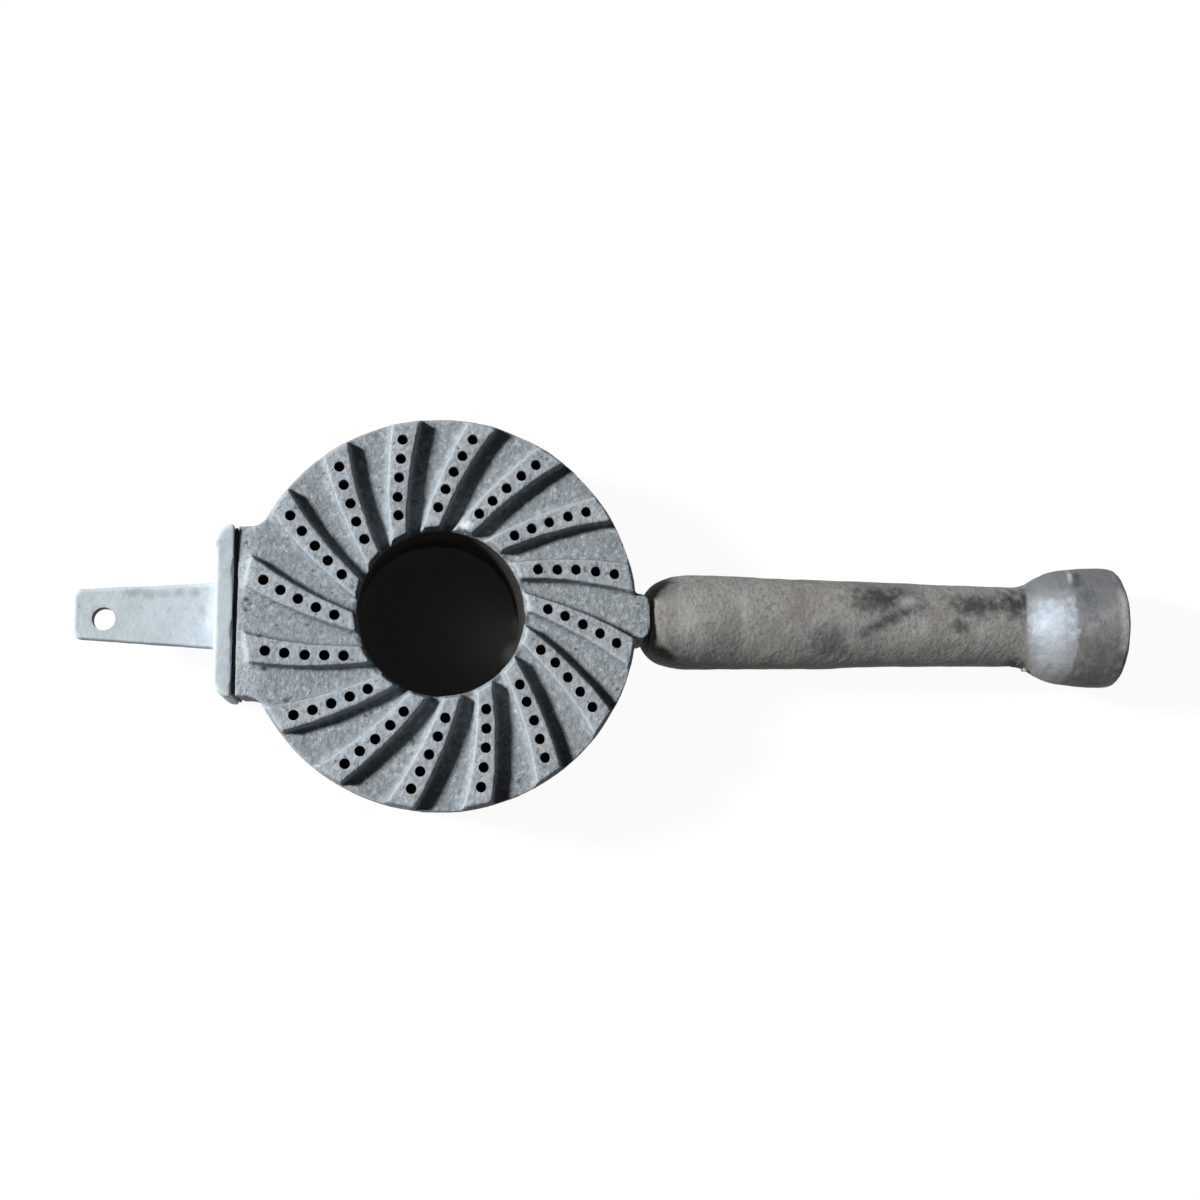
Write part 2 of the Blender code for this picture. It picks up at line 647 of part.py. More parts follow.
def make_flange():
    """A plate with rounded outer corners, and a tapered lug in one piece with it."""
    outer = FLANGE_IN - FLANGE_T

    def plate(inset, z):
        left = outer + inset
        right = FLANGE_IN
        half = FLANGE_HALF - inset
        corner = FLANGE_ROUND
        points = [(right, -half), (right, half)]
        points += arc((left + corner, half - corner), corner, 90, 180, 6)
        points += arc((left + corner, -half + corner), corner, 180, 270, 6)
        return [(x, y, z + (FLANGE_ROLL * y if z > TUBE_Z else 0)) for x, y in points]

    edge = 0.9 * MM
    flange = loft("flange_plate", [
        plate(edge, FLANGE_LOW),
        plate(0, FLANGE_LOW + edge),
        plate(0, FLANGE_TOP - edge),
        plate(edge, FLANGE_TOP),
    ])

    def lug(inset, z):
        fillet = 2.5 * MM
        tip = -LUG_REACH + inset
        corner = 3.2 * MM
        root = LUG_ROOT_HALF - inset
        end = LUG_TIP_HALF - inset
        side = arc((outer - fillet, root + fillet), fillet, 0, -90, 4)
        points = [(outer + 2 * MM, root + fillet)] + side
        points += arc((tip + corner, end - corner), corner, 90, 180, 5)
        points += [(x, -y) for x, y in reversed(points)]
        return raised(points, z)

    low = TUBE_Z - LUG_T / 2
    high = TUBE_Z + LUG_T / 2
    soft = 0.7 * MM
    bar = loft("lug_bar", [lug(soft, low), lug(0, low + soft), lug(0, high - soft), lug(soft, high)])
    boolean(flange, "UNION", bar)
    hole = rod("lug_hole", LUG_HOLE_R, low - SPARE, high + SPARE, at=LUG_HOLE, steps=28)
    boolean(flange, "DIFFERENCE", hole)
    for spot in tail_places():
        hole = turned("tail_sink", [
            (TAIL_SCREW_R + GAP, FLANGE_IN + SPARE),
            (TAIL_SCREW_R + GAP, outer + TAIL_SINK),
            (TAIL_HEAD_R + GAP, outer + 0.3 * MM),
            (TAIL_HEAD_R + GAP, outer - SPARE),
            (0, outer - SPARE),
            (0, FLANGE_IN + SPARE),
        ], 20)
        hole.matrix_local = Matrix.Translation((0, *spot)) @ Matrix.Rotation(math.pi / 2, 4, "Y")
        boolean(flange, "DIFFERENCE", hole)
    return finish(flange, "tail_flange", CAST_BARE)


def make_crown_screws():
    low = HEAD_POCKET - GAP - WASHER_T - GAP - HEAD_H
    head = rod("screw_head", HEAD_R, low, low + HEAD_H, steps=6)
    shank = rod("screw_shank", SCREW_R, low + HEAD_H - 1 * MM, CROWN_Z + 1.4 * MM, steps=16)
    screw = applied(boolean(head, "UNION", shank))
    bpy.data.objects.remove(shank, do_unlink=True)
    washer_low = HEAD_POCKET - GAP - WASHER_T
    washer = applied(turned("washer", [
        (WASHER_R, washer_low + WASHER_T),
        (WASHER_R, washer_low),
        (SCREW_R + GAP, washer_low),
        (SCREW_R + GAP, washer_low + WASHER_T),
    ], 16))
    for i, spot in enumerate(screw_places(), 1):
        for source, name in ((screw, "crown_screw"), (washer, "crown_washer")):
            piece = place(bpy.data.objects.new(name, source.data.copy()))
            piece.location = spot
            finish(piece, f"{name}_{i}", STEEL)
    bpy.data.objects.remove(screw, do_unlink=True)
    bpy.data.objects.remove(washer, do_unlink=True)


def make_tail_screws():
    outer = FLANGE_IN - FLANGE_T
    screw = turned("tail_screw", [
        (TAIL_SCREW_R, outer + TAIL_SCREW_L),
        (TAIL_SCREW_R, outer + TAIL_SINK),
        (TAIL_HEAD_R, outer + 0.5 * MM),
        (TAIL_HEAD_R, outer + 0.2 * MM),
        (0, outer + 0.2 * MM),
        (0, outer + TAIL_SCREW_L),
    ], 16)
    slot = box("slot", (-6 * MM, -0.6 * MM, outer - 1 * MM), (6 * MM, 0.6 * MM, outer + 1.4 * MM))
    screw = applied(boolean(screw, "DIFFERENCE", slot))
    bpy.data.objects.remove(slot, do_unlink=True)
    for i, (y, z) in enumerate(tail_places(), 1):
        piece = place(bpy.data.objects.new("tail_screw", screw.data.copy()))
        piece.matrix_local = Matrix.Translation((0, y, z)) @ Matrix.Rotation(math.pi / 2, 4, "Y")
        finish(piece, f"tail_screw_{i}", STEEL)
    bpy.data.objects.remove(screw, do_unlink=True)


make_crown()
make_pan()
make_gaskets()
make_tube()
make_bell()
make_grub_screws()
make_flange()
make_crown_screws()
make_tail_screws()
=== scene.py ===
"""The looks of a cast iron ring burner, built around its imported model.

The burner lies flat on a white floor and is seen from above. Every casting is remade as a fine skin
with soft edges and the unevenness of sand casting. The tail screws are remade too, and the other small
parts keep their solids.
"""
import math

import bmesh
import bpy
from mathutils import Matrix, Vector, kdtree, noise


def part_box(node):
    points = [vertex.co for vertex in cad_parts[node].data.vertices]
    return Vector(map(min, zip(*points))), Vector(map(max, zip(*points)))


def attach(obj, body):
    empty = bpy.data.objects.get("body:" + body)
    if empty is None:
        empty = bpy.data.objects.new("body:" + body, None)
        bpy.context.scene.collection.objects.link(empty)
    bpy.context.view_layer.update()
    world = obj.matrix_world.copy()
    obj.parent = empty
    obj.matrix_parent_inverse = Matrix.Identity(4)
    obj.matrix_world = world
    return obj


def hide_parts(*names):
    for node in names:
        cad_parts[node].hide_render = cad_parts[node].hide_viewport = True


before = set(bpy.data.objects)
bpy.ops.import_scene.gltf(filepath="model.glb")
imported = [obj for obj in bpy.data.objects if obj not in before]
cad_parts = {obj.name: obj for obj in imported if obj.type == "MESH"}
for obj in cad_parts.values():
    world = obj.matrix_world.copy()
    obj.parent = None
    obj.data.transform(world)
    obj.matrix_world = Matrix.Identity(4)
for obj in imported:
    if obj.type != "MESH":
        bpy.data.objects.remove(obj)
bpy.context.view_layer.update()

MM = 0.001
GAP = 0.3 * MM
PAST = 5 * MM                  # how far a cutter reaches past what it cuts
LAP = 1 * MM                   # how far joined shapes lap, and short cutters reach past
MERGE = 0.001 * MM             # points nearer than this are one

# Places read from the frame, in metres from the ring's axis
SEAL_LOW, SEAL_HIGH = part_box("crown_gasket_inner")
RING_X = (SEAL_LOW.x + SEAL_HIGH.x) / 2
CROWN_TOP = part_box("crown")[1].z
PAN_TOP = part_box("pan")[1].z
MOUTH_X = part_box("bell_mouth")[1].x - RING_X
TIP_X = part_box("tail_flange")[0].x - RING_X

# Ring, neck and nose of the crown
RING_R = 75.0 * MM
HOLE_R = 31.4 * MM
HOLE_FOOT_R = HOLE_R + 1 * MM  # the hole widens towards the pan's foot
WALL = 5.0 * MM
NECK_HALF = 32.2 * MM
NECK_END = -76.3 * MM
NECK_FILLET = 7.0 * MM
FLOOR_Z = 45.0 * MM
PLATE_LOW = 40.0 * MM
NOSE_REACH = 79.9 * MM
NOSE_HALF = 8.9 * MM
NOSE_CORNER = 4.5 * MM

# Ribs and flame ports
RIB_COUNT = 16
RIB_PHASE = math.radians(108.2)
RIB_LEAN = math.radians(21.1)
RIB_ARC = 160.0 * MM
RIB_HALF = 4.0 * MM
RIB_WIDENING = 11.2
RIB_DRAFT = 0.18
RIB_SINK = 2.0 * MM
RIB_SLOPE = 1.0 * MM
PORT_MID_R = 53.6 * MM
PORTS_PER_RIB = 5
PORT_PITCH = 7.3 * MM
PORT_R = 2.0 * MM
DRILL_SIDES = 28
BORE_SLACK = 0.02 * MM
PORT_SHADE_RIM = 0.2                # strength of the painted shade on a port's upper edge, where its lower end is 1

# Crown screws
SCREW_RADIUS = 61.5 * MM
SCREW_R = 3.0 * MM
POCKET_R = 6.8 * MM
POCKET_Z = 8.0 * MM
BOSS_R = 6.2 * MM
BOSS_Z = 33.0 * MM
PILLAR_R = 9.2 * MM
PAN_FLOOR = 5.0 * MM
DUCT_END = -52.0 * MM

# Mixing tube and bell
TUBE_Z = 25.0 * MM
TUBE_START = 80.9 * MM
SHOULDER_END = 98.0 * MM
TUBE_END = 230.7 * MM
TUBE_R = 18.8 * MM
TUBE_END_R = 15.8 * MM
SPIGOT_START = 66.0 * MM
SOCKET_END = 79.3 * MM
SOCKET_HALF = (9.8 * MM, 15.5 * MM)
SPIGOT_HALF = (7.3 * MM, 12.7 * MM)
PASSAGE_HALF = (5.1 * MM, 10.5 * MM)
SPIGOT_Z = 22.6 * MM
OVAL_POWER = 3.0
SHOULDER_HALF = (9.8 * MM, 18.0 * MM)
WIDE_X = 112.0 * MM
WIDE_R = 13.0 * MM
GRUB_X = 74.3 * MM
PAD_R = 4.8 * MM
PAD_Z = (2.5 * MM, 12 * MM)
THROAT_X = 215.0 * MM
THROAT_R = 8.6 * MM
BELL_START = TUBE_END + GAP
BELL_SPIGOT = 240.0 * MM
BELL_SPIGOT_R = 12.5 * MM
BELL_R = 24.3 * MM
MOUTH_R = 20.8 * MM
BELL_GRUB_X = BELL_START + 5.0 * MM
BELL_GRUB_R = 2.1 * MM
FACING = 2.0 * MM              # the tube and the bell are cast this much longer, then faced off square
FACING_R = 30.0 * MM
TIGHTER = 0.2 * MM             # the joint of tube and bell is this much narrower than in the solids

# Tail flange and lug
FLANGE_T = 6.9 * MM
FLANGE_IN = -77.8 * MM
FLANGE_HALF = 32.4 * MM
FLANGE_LOW = 0.6 * MM
FLANGE_TOP = 46.3 * MM
FLANGE_ROLL = 0.024
FLANGE_ROUND = 6.0 * MM
LUG_T = 7.0 * MM
LUG_ROOT_HALF = 12.4 * MM
LUG_TIP_HALF = 9.6 * MM
LUG_HOLE = (-127.2 * MM, -1.9 * MM)
LUG_HOLE_R = 4.4 * MM
TAIL_SCREW_Y = 25.5 * MM
TAIL_SCREW_Z = (8.5 * MM, 30.0 * MM)
TAIL_SPOTS = [(side * TAIL_SCREW_Y, z) for side in (-1, 1) for z in TAIL_SCREW_Z]
TAIL_SCREW_R = 2.3 * MM
TAIL_SCREW_L = 18.0 * MM
TAIL_BOSS_R = 5.6 * MM
TAIL_BOSS_L = 15.0 * MM
TAIL_HOLE_L = 12.5 * MM
TAIL_HEAD_R = 3.9 * MM
TAIL_SINK = 1.0 * MM           # the heads lie this deep, so that the plate's round corners cover them

# Skins of castings: face size, rounds of smoothing, unevenness by size and height, seed, triangle limit
CROWN_SKIN = (0.6 * MM, 7, [(9 * MM, 0.22 * MM), (2.6 * MM, 0.10 * MM), (1.3 * MM, 0.05 * MM)], 1, 185000)
PAN_SKIN = (0.85 * MM, 3, [(11 * MM, 0.22 * MM), (3.0 * MM, 0.12 * MM)], 2, 170000)
TUBE_SKIN = (0.7 * MM, 3, [(26 * MM, 0.5 * MM), (7 * MM, 0.2 * MM), (2.6 * MM, 0.06 * MM)], 3, 150000)
BELL_SKIN = (0.6 * MM, 3, [(17 * MM, 0.4 * MM), (5 * MM, 0.14 * MM), (2.2 * MM, 0.05 * MM)], 4, 90000)
FLANGE_SKIN = (0.55 * MM, 4, [(12 * MM, 0.25 * MM), (3.5 * MM, 0.08 * MM), (1.6 * MM, 0.03 * MM)], 5, 110000)

# Marks, wear and painted shade in the materials
HOLE_SHADE_DEPTH = 1.3 * MM         # how far past a hole's radius the painted shade on its wall reaches
MARK_DEPTH = 12 * MM           # how far a mark reaches along Z
MARK_TEAR = 1.8                # how much noise tears a mark's edge
MARK_EDGE = (2.15, 1.15)       # torn distance from a mark's centre at which it starts, and is whole
PROUD = (0.02, 0.12)           # millimetres above the neighbourhood between which an edge turns pale
SHADED_HOLLOW = (-0.03, -0.16)        # and between which a hollow gets painted shade

# Camera, at the photograph's angle: place and turns about X, Y and Z
CAMERA_AT = Vector((-24.57, -83.61, 742.6)) * MM
CAMERA_TURNS = (0.1277, -0.1204, 0.0149)
CAMERA_LENS = 55.46

# Light: it falls from the left of the picture
KEY_ELEVATION = math.radians(32.8)
KEY_HEADING = math.radians(-12)
KEY_STRENGTH = 5.7
KEY_SOFTNESS = math.radians(10)
SKY_STRENGTH = 0.015
FLOOR_TONE = 0.45              # what the floor throws back at the burner
FLOOR_LIFT = 0.85              # share of plain white in the floor as the camera and glossy rays see it
FLOOR_WHITE = 1.12
FLOOR_HALF = 4.0               # metres
FLOOR_DROP = 0.2 * MM


def linear(code):
    """An sRGB hex colour as linear RGBA."""
    parts = [int(code[i:i + 2], 16) / 255 for i in (1, 3, 5)]
    return (*[c / 12.92 if c <= 0.04045 else ((c + 0.055) / 1.055) ** 2.4 for c in parts], 1)


def add(tree, kind, inputs=None, **settings):
    """Add a node with its settings. Each input, by name or number, is a value, a socket or a whole node."""
    node = tree.nodes.new(kind)
    for key, value in settings.items():
        setattr(node, key, value)
    for key, value in (inputs or {}).items():
        if isinstance(value, bpy.types.Node):
            value = value.outputs[0]
        if isinstance(value, bpy.types.NodeSocket):
            tree.links.new(value, node.inputs[key])
        else:
            node.inputs[key].default_value = value
    return node


def new_object(name, data):
    obj = bpy.data.objects.new(name, data)
    bpy.context.scene.collection.objects.link(obj)
    return obj


def mesh_object(name, bm):
    mesh = bpy.data.meshes.new(name)
    bm.to_mesh(mesh)
    bm.free()
    return new_object(name, mesh)


def discard(*objs):
    for obj in objs:
        bpy.data.objects.remove(obj, do_unlink=True)


def settle(obj):
    """Turn an object and its modifiers into a plain mesh at the origin."""
    bpy.context.view_layer.update()
    graph = bpy.context.evaluated_depsgraph_get()
    mesh = bpy.data.meshes.new_from_object(obj.evaluated_get(graph), depsgraph=graph)
    mesh.transform(obj.matrix_world)
    obj.modifiers.clear()
    obj.matrix_world = Matrix.Identity(4)
    old = obj.data
    obj.data = mesh
    if old.users == 0:
        bpy.data.meshes.remove(old)
    return obj


def modify(obj, kind, **settings):
    mod = obj.modifiers.new(kind.lower(), kind)
    for key, value in settings.items():
        setattr(mod, key, value)


def cut(obj, *tools, operation="DIFFERENCE", solver="MANIFOLD"):
    """Cut an object by tools, which are then removed."""
    for tool in tools:
        modify(obj, "BOOLEAN", operation=operation, solver=solver, object=tool)
    settle(obj)
    discard(*tools)


def join(name, *objs):
    """One mesh that holds several shapes."""
    bm = bmesh.new()
    for obj in objs:
        bm.from_mesh(obj.data)
    discard(*objs)
    return mesh_object(name, bm)


def arc(centre, radius, start, end, steps):
    """Points of an arc in degrees, both ends included."""
    turns = [math.radians(start + (end - start) * i / steps) for i in range(steps + 1)]
    return [(centre[0] + radius * math.cos(a), centre[1] + radius * math.sin(a)) for a in turns]


def raised(points, z):
    return [(x, y, z) for x, y in points]


def mend(bm):
    """Merge the points that meet, and turn every face outwards."""
    bmesh.ops.remove_doubles(bm, verts=bm.verts, dist=MERGE)
    bmesh.ops.recalc_face_normals(bm, faces=bm.faces)


def loft(name, sections):
    """A closed skin through rings of equally many points, with both ends capped."""
    bm = bmesh.new()
    rings = [[bm.verts.new(p) for p in section] for section in sections]
    for lower, upper in zip(rings, rings[1:]):
        for i in range(len(lower)):
            j = (i + 1) % len(lower)
            bm.faces.new((lower[i], lower[j], upper[j], upper[i]))
    bm.faces.new(rings[0][::-1])
    bm.faces.new(rings[-1])
    bmesh.ops.recalc_face_normals(bm, faces=bm.faces)
    return mesh_object(name, bm)


def turned(name, profile, steps=180, axis="Z", at=(0, 0, 0)):
    """A closed profile of (radius, height) turned round an axis through a point."""
    bm = bmesh.new()
    rings = []
    for i in range(steps):
        spin = Matrix.Rotation(2 * math.pi * i / steps, 3, "Z")
        rings.append([bm.verts.new(spin @ Vector((r, 0, h))) for r, h in profile])
    for i, ring in enumerate(rings):
        after = rings[(i + 1) % steps]
        for j in range(len(ring)):
            k = (j + 1) % len(ring)
            bm.faces.new((ring[j], ring[k], after[k], after[j]))
    mend(bm)
    if axis == "X":
        bm.transform(Matrix.Rotation(math.pi / 2, 4, "Y"))
    bm.transform(Matrix.Translation(at))
    return mesh_object(name, bm)


def rod(name, radius, low, high, at=(0, 0), axis="Z", steps=40, top_radius=None):
    """A cylinder or cone between two stations along an axis; at is its place across that axis."""
    bm = bmesh.new()
    end = radius if top_radius is None else top_radius
    bmesh.ops.create_cone(bm, cap_ends=True, segments=steps, radius1=radius, radius2=end, depth=high - low)
    middle = (low + high) / 2
    if axis == "Z":
        bm.transform(Matrix.Translation((at[0], at[1], middle)))
    elif axis == "X":
        bm.transform(Matrix.Translation((middle, at[0], at[1])) @ Matrix.Rotation(math.pi / 2, 4, "Y"))
    else:
        bm.transform(Matrix.Translation((at[0], middle, at[1])) @ Matrix.Rotation(-math.pi / 2, 4, "X"))
    return mesh_object(name, bm)


def box(name, low, high):
    bm = bmesh.new()
    bmesh.ops.create_cube(bm, size=1)
    size = Vector(high) - Vector(low)
    bm.transform(Matrix.Translation((Vector(low) + Vector(high)) / 2) @ Matrix.Diagonal((*size, 1)))
    return mesh_object(name, bm)


def oval(x, half, z, power, steps=96):
    """A superellipse across the tube: half width in Y and half height in Z."""
    points = []
    for i in range(steps):
        a = 2 * math.pi * i / steps
        c = math.cos(a)
        s = math.sin(a)
        y = half[0] * math.copysign(abs(c) ** (2 / power), c)
        points.append((x, y, z + half[1] * math.copysign(abs(s) ** (2 / power), s)))
    return points


def circle(x, radius, steps=96):
    """A round section of the tube."""
    return oval(x, (radius, radius), TUBE_Z, 2, steps)


def blend(a, b, t):
    return a + (b - a) * t


def grown(half, by):
    return half[0] + by, half[1] + by


def cast(obj, grain, soften):
    """Give a shape the soft edges of a casting: remade of even small faces, then smoothed."""
    modify(obj, "REMESH", mode="VOXEL", voxel_size=grain, adaptivity=0.0)
    modify(obj, "SMOOTH", factor=0.5, iterations=soften)
    settle(obj)


def roughen(obj, layers, seed):
    """Push the skin in and out by layers of noise, each with its grain size and its height."""
    bm = bmesh.new()
    bm.from_mesh(obj.data)
    bm.normal_update()
    start = Vector((seed * 13.1, seed * 7.7, seed * 3.3))
    for vert in bm.verts:
        push = sum(height * noise.noise(vert.co / size + start) for size, height in layers)
        vert.co += vert.normal * push
    bm.to_mesh(obj.data)
    bm.free()


def thin_out(obj, limit):
    """Bring a piece under a number of triangles, keeping its curved places finest."""
    triangles = sum(len(face.vertices) - 2 for face in obj.data.polygons)
    if triangles > limit:
        modify(obj, "DECIMATE", ratio=limit / triangles)
        settle(obj)


def note(obj, name, values):
    """Keep one number for each point under a name."""
    obj.data.attributes.new(name, "FLOAT", "POINT").data.foreach_set("value", values)


def note_proudness(obj, rounds=3):
    """Keep how far each point stands proud of its neighbourhood, in millimetres: for pale wear on edges and
    painted shade in hollows.
    """
    bm = bmesh.new()
    bm.from_mesh(obj.data)
    bm.normal_update()
    places = [vert.co.copy() for vert in bm.verts]
    links = [[edge.other_vert(vert).index for edge in vert.link_edges] for vert in bm.verts]
    for _ in range(rounds):
        places = [sum((places[j] for j in near), Vector()) / len(near) if near else places[i]
                  for i, near in enumerate(links)]
    proud = [(vert.co - place).dot(vert.normal) / MM for vert, place in zip(bm.verts, places)]
    bm.free()
    note(obj, "proudness", proud)


def note_port_shade(obj, axes):
    """Keep which points lie on the walls of the flame ports, for painted shade inside them: most at their
    lower ends.
    """
    near = kdtree.KDTree(len(axes))
    for i, axis in enumerate(axes):
        near.insert((axis.x, axis.y, 0), i)
    near.balance()
    port_shade = []
    for vert in obj.data.vertices:
        on_wall = near.find((vert.co.x, vert.co.y, 0))[2] < PORT_R + BORE_SLACK
        depth = PORT_SHADE_RIM if vert.co.z > FLOOR_Z else 1.0
        port_shade.append(depth if on_wall else 0.0)
    note(obj, "port_shade", port_shade)


def skin_over(obj, grain, soften, layers, seed, limit):
    """Make a shape a casting: soft edges, unevenness, a note of how proud its points stand, and a limit of
    triangles.
    """
    cast(obj, grain, soften)
    roughen(obj, layers, seed)
    note_proudness(obj)
    thin_out(obj, limit)


def finish(obj, name, nodes, material, sharp=40):
    """Put a piece in its place on the burner, within the box of the solids that it stands for."""
    obj.data.transform(Matrix.Translation((RING_X, 0, 0)))
    corners = [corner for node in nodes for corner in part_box(node)]
    low = [min(along) for along in zip(*corners)]
    high = [max(along) for along in zip(*corners)]
    for vert in obj.data.vertices:
        vert.co = [min(max(c, a), b) for c, a, b in zip(vert.co, low, high)]
    obj.name = name
    obj.data.name = name
    obj.data.materials.clear()
    obj.data.materials.append(material)
    obj.data.shade_smooth()
    obj.data.set_sharp_from_angle(angle=math.radians(sharp))
    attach(obj, "root")
    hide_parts(*nodes)


# Geometry Nodes trees


def new_tree(name, sockets):
    """A geometry tree with named inputs, given as name, kind and value."""
    tree = bpy.data.node_groups.new(name, "GeometryNodeTree")
    tree.is_modifier = True
    tree.interface.new_socket("Geometry", in_out="OUTPUT", socket_type="NodeSocketGeometry")
    for label, kind, value in sockets:
        socket = tree.interface.new_socket(label, in_out="INPUT", socket_type="NodeSocket" + kind)
        if value is not None:
            socket.default_value = value
    return tree, tree.nodes.new("NodeGroupInput").outputs, tree.nodes.new("NodeGroupOutput").inputs


def grow(name, tree, **values):
    """Run a geometry tree on an empty mesh and keep the result as a plain mesh."""
    obj = mesh_object(name, bmesh.new())
    mod = obj.modifiers.new("tree", "NODES")
    mod.node_group = tree
    sockets = {item.name: item.identifier for item in tree.interface.items_tree if item.in_out == "INPUT"}
    for label, value in values.items():
        mod[sockets[label.replace("_", " ").capitalize()]] = value
    return settle(obj)


def row_inputs():
    """The sizes that ribs and ports share."""
    return [
        ("Rows", "Int", RIB_COUNT),
        ("Phase", "Float", RIB_PHASE),
        ("Lean", "Float", RIB_LEAN),
        ("Arc radius", "Float", RIB_ARC),
        ("Middle radius", "Float", PORT_MID_R),
    ]


def row_arc(tree, given, low, high, points, height):
    """An arc that leans away from the radius, from low to high along it, at a height."""
    radius = given["Arc radius"]
    reach = add(tree, "ShaderNodeMath", {0: low, 1: radius}, operation="DIVIDE")
    first = add(tree, "ShaderNodeMath", {0: math.pi / 2, 1: reach}, operation="SUBTRACT")
    length = add(tree, "ShaderNodeMath", {0: low, 1: high}, operation="SUBTRACT")
    sweep = add(tree, "ShaderNodeMath", {0: length, 1: radius}, operation="DIVIDE")
    line = add(tree, "GeometryNodeCurveArc", {
        "Resolution": points, "Radius": radius, "Start Angle": first, "Sweep Angle": sweep})
    back = add(tree, "ShaderNodeMath", {0: radius, 1: -1.0}, operation="MULTIPLY")
    middle = add(tree, "ShaderNodeCombineXYZ", {"Y": back})
    centred = add(tree, "GeometryNodeTransform", {"Geometry": line, "Translation": middle})
    lean = add(tree, "ShaderNodeMath", {0: given["Lean"], 1: -1.0}, operation="MULTIPLY")
    euler = add(tree, "ShaderNodeCombineXYZ", {"Z": lean})
    turn = add(tree, "FunctionNodeEulerToRotation", {"Euler": euler})
    shift = add(tree, "ShaderNodeCombineXYZ", {"X": given["Middle radius"], "Z": height})
    return add(tree, "GeometryNodeTransform", {"Geometry": centred, "Rotation": turn, "Translation": shift})


def around_ring(tree, given, shape):
    """Copies of a shape, turned evenly round the ring."""
    spots = add(tree, "GeometryNodePoints", {"Count": given["Rows"]})
    index = add(tree, "GeometryNodeInputIndex")
    share = add(tree, "ShaderNodeMath", {0: 2 * math.pi, 1: given["Rows"]}, operation="DIVIDE")
    turn = add(tree, "ShaderNodeMath", {0: index, 1: share, 2: given["Phase"]}, operation="MULTIPLY_ADD")
    euler = add(tree, "ShaderNodeCombineXYZ", {"Z": turn})
    spin = add(tree, "FunctionNodeEulerToRotation", {"Euler": euler})
    return add(tree, "GeometryNodeInstanceOnPoints", {"Points": spots, "Instance": shape, "Rotation": spin})


def end_tree(tree, given, shape, result):
    real = add(tree, "GeometryNodeRealizeInstances", {"Geometry": shape})
    dressed = add(tree, "GeometryNodeSetMaterial", {"Geometry": real, "Material": given["Material"]})
    tree.links.new(dressed.outputs[0], result["Geometry"])
    return tree


def rib_tree():
    """Drafted bars, wider outwards, swept along leaning arcs and set round the ring."""
    tree, given, result = new_tree("rib_ring", row_inputs() + [
        ("Inner reach", "Float", -27 * MM),
        ("Outer reach", "Float", 25 * MM),
        ("Top", "Float", CROWN_TOP),
        ("Height", "Float", CROWN_TOP - FLOOR_Z + RIB_SINK),
        ("Half width", "Float", RIB_HALF),
        ("Draft", "Float", RIB_DRAFT),
        ("Widening", "Float", RIB_WIDENING),
        ("Material", "Material", None),
    ])
    path = row_arc(tree, given, given["Inner reach"], given["Outer reach"], 60, given["Top"])
    along = add(tree, "GeometryNodeSplineParameter").outputs["Length"]
    place = add(tree, "ShaderNodeMath", {0: along, 1: given["Inner reach"]}, operation="ADD")
    size = add(tree, "ShaderNodeMath", {0: place, 1: given["Widening"], 2: 1.0}, operation="MULTIPLY_ADD")
    upright = add(tree, "GeometryNodeSetCurveNormal", {"Curve": path}, mode="Z_UP")
    spread = add(tree, "ShaderNodeMath", {0: given["Draft"], 1: given["Height"], 2: given["Half width"]},
                 operation="MULTIPLY_ADD")
    top = add(tree, "ShaderNodeMath", {0: given["Half width"], 1: 2.0}, operation="MULTIPLY")
    foot = add(tree, "ShaderNodeMath", {0: spread, 1: 2.0}, operation="MULTIPLY")
    half = add(tree, "ShaderNodeMath", {0: given["Height"], 1: 0.5}, operation="MULTIPLY")
    section = add(tree, "GeometryNodeCurvePrimitiveQuadrilateral", {
        "Height": given["Height"], "Bottom Width": top, "Top Width": foot, "Offset": 0}, mode="TRAPEZOID")
    shift = add(tree, "ShaderNodeCombineXYZ", {"Y": half})
    hung = add(tree, "GeometryNodeTransform", {"Geometry": section, "Translation": shift})
    bar = add(tree, "GeometryNodeCurveToMesh", {
        "Curve": upright, "Profile Curve": hung, "Scale": size, "Fill Caps": True})
    return end_tree(tree, given, around_ring(tree, given, bar), result)


def port_tree():
    """Drills for the flame ports: rows along leaning arcs, each drill a little off its mark."""
    tree, given, result = new_tree("port_rows", row_inputs() + [
        ("Ports", "Int", PORTS_PER_RIB),
        ("Half row", "Float", PORT_PITCH * (PORTS_PER_RIB - 1) / 2),
        ("Drill radius", "Float", PORT_R),
        ("Drill length", "Float", 20 * MM),
        ("Height", "Float", FLOOR_Z),
        ("Wander", "Float", 0.2 * MM),
        ("Seed", "Int", 4),
        ("Material", "Material", None),
    ])
    low = add(tree, "ShaderNodeMath", {0: given["Half row"], 1: -1.0}, operation="MULTIPLY")
    row = row_arc(tree, given, low, given["Half row"], given["Ports"], given["Height"])
    rows = add(tree, "GeometryNodeRealizeInstances", {"Geometry": around_ring(tree, given, row)})
    apart = add(tree, "ShaderNodeMath", {0: given["Wander"], 1: -1.0}, operation="MULTIPLY")
    reaches = (apart, given["Wander"])
    corner = [add(tree, "ShaderNodeCombineXYZ", {"X": reach, "Y": reach}) for reach in reaches]
    stray = add(tree, "FunctionNodeRandomValue", {
        0: corner[0], 1: corner[1], "Seed": given["Seed"]}, data_type="FLOAT_VECTOR")
    spots = add(tree, "GeometryNodeSetPosition", {"Geometry": rows, "Offset": stray})
    drill = add(tree, "GeometryNodeMeshCylinder", {
        "Vertices": DRILL_SIDES, "Radius": given["Drill radius"], "Depth": given["Drill length"]})
    drills = add(tree, "GeometryNodeInstanceOnPoints", {"Points": spots, "Instance": drill})
    return end_tree(tree, given, drills, result)


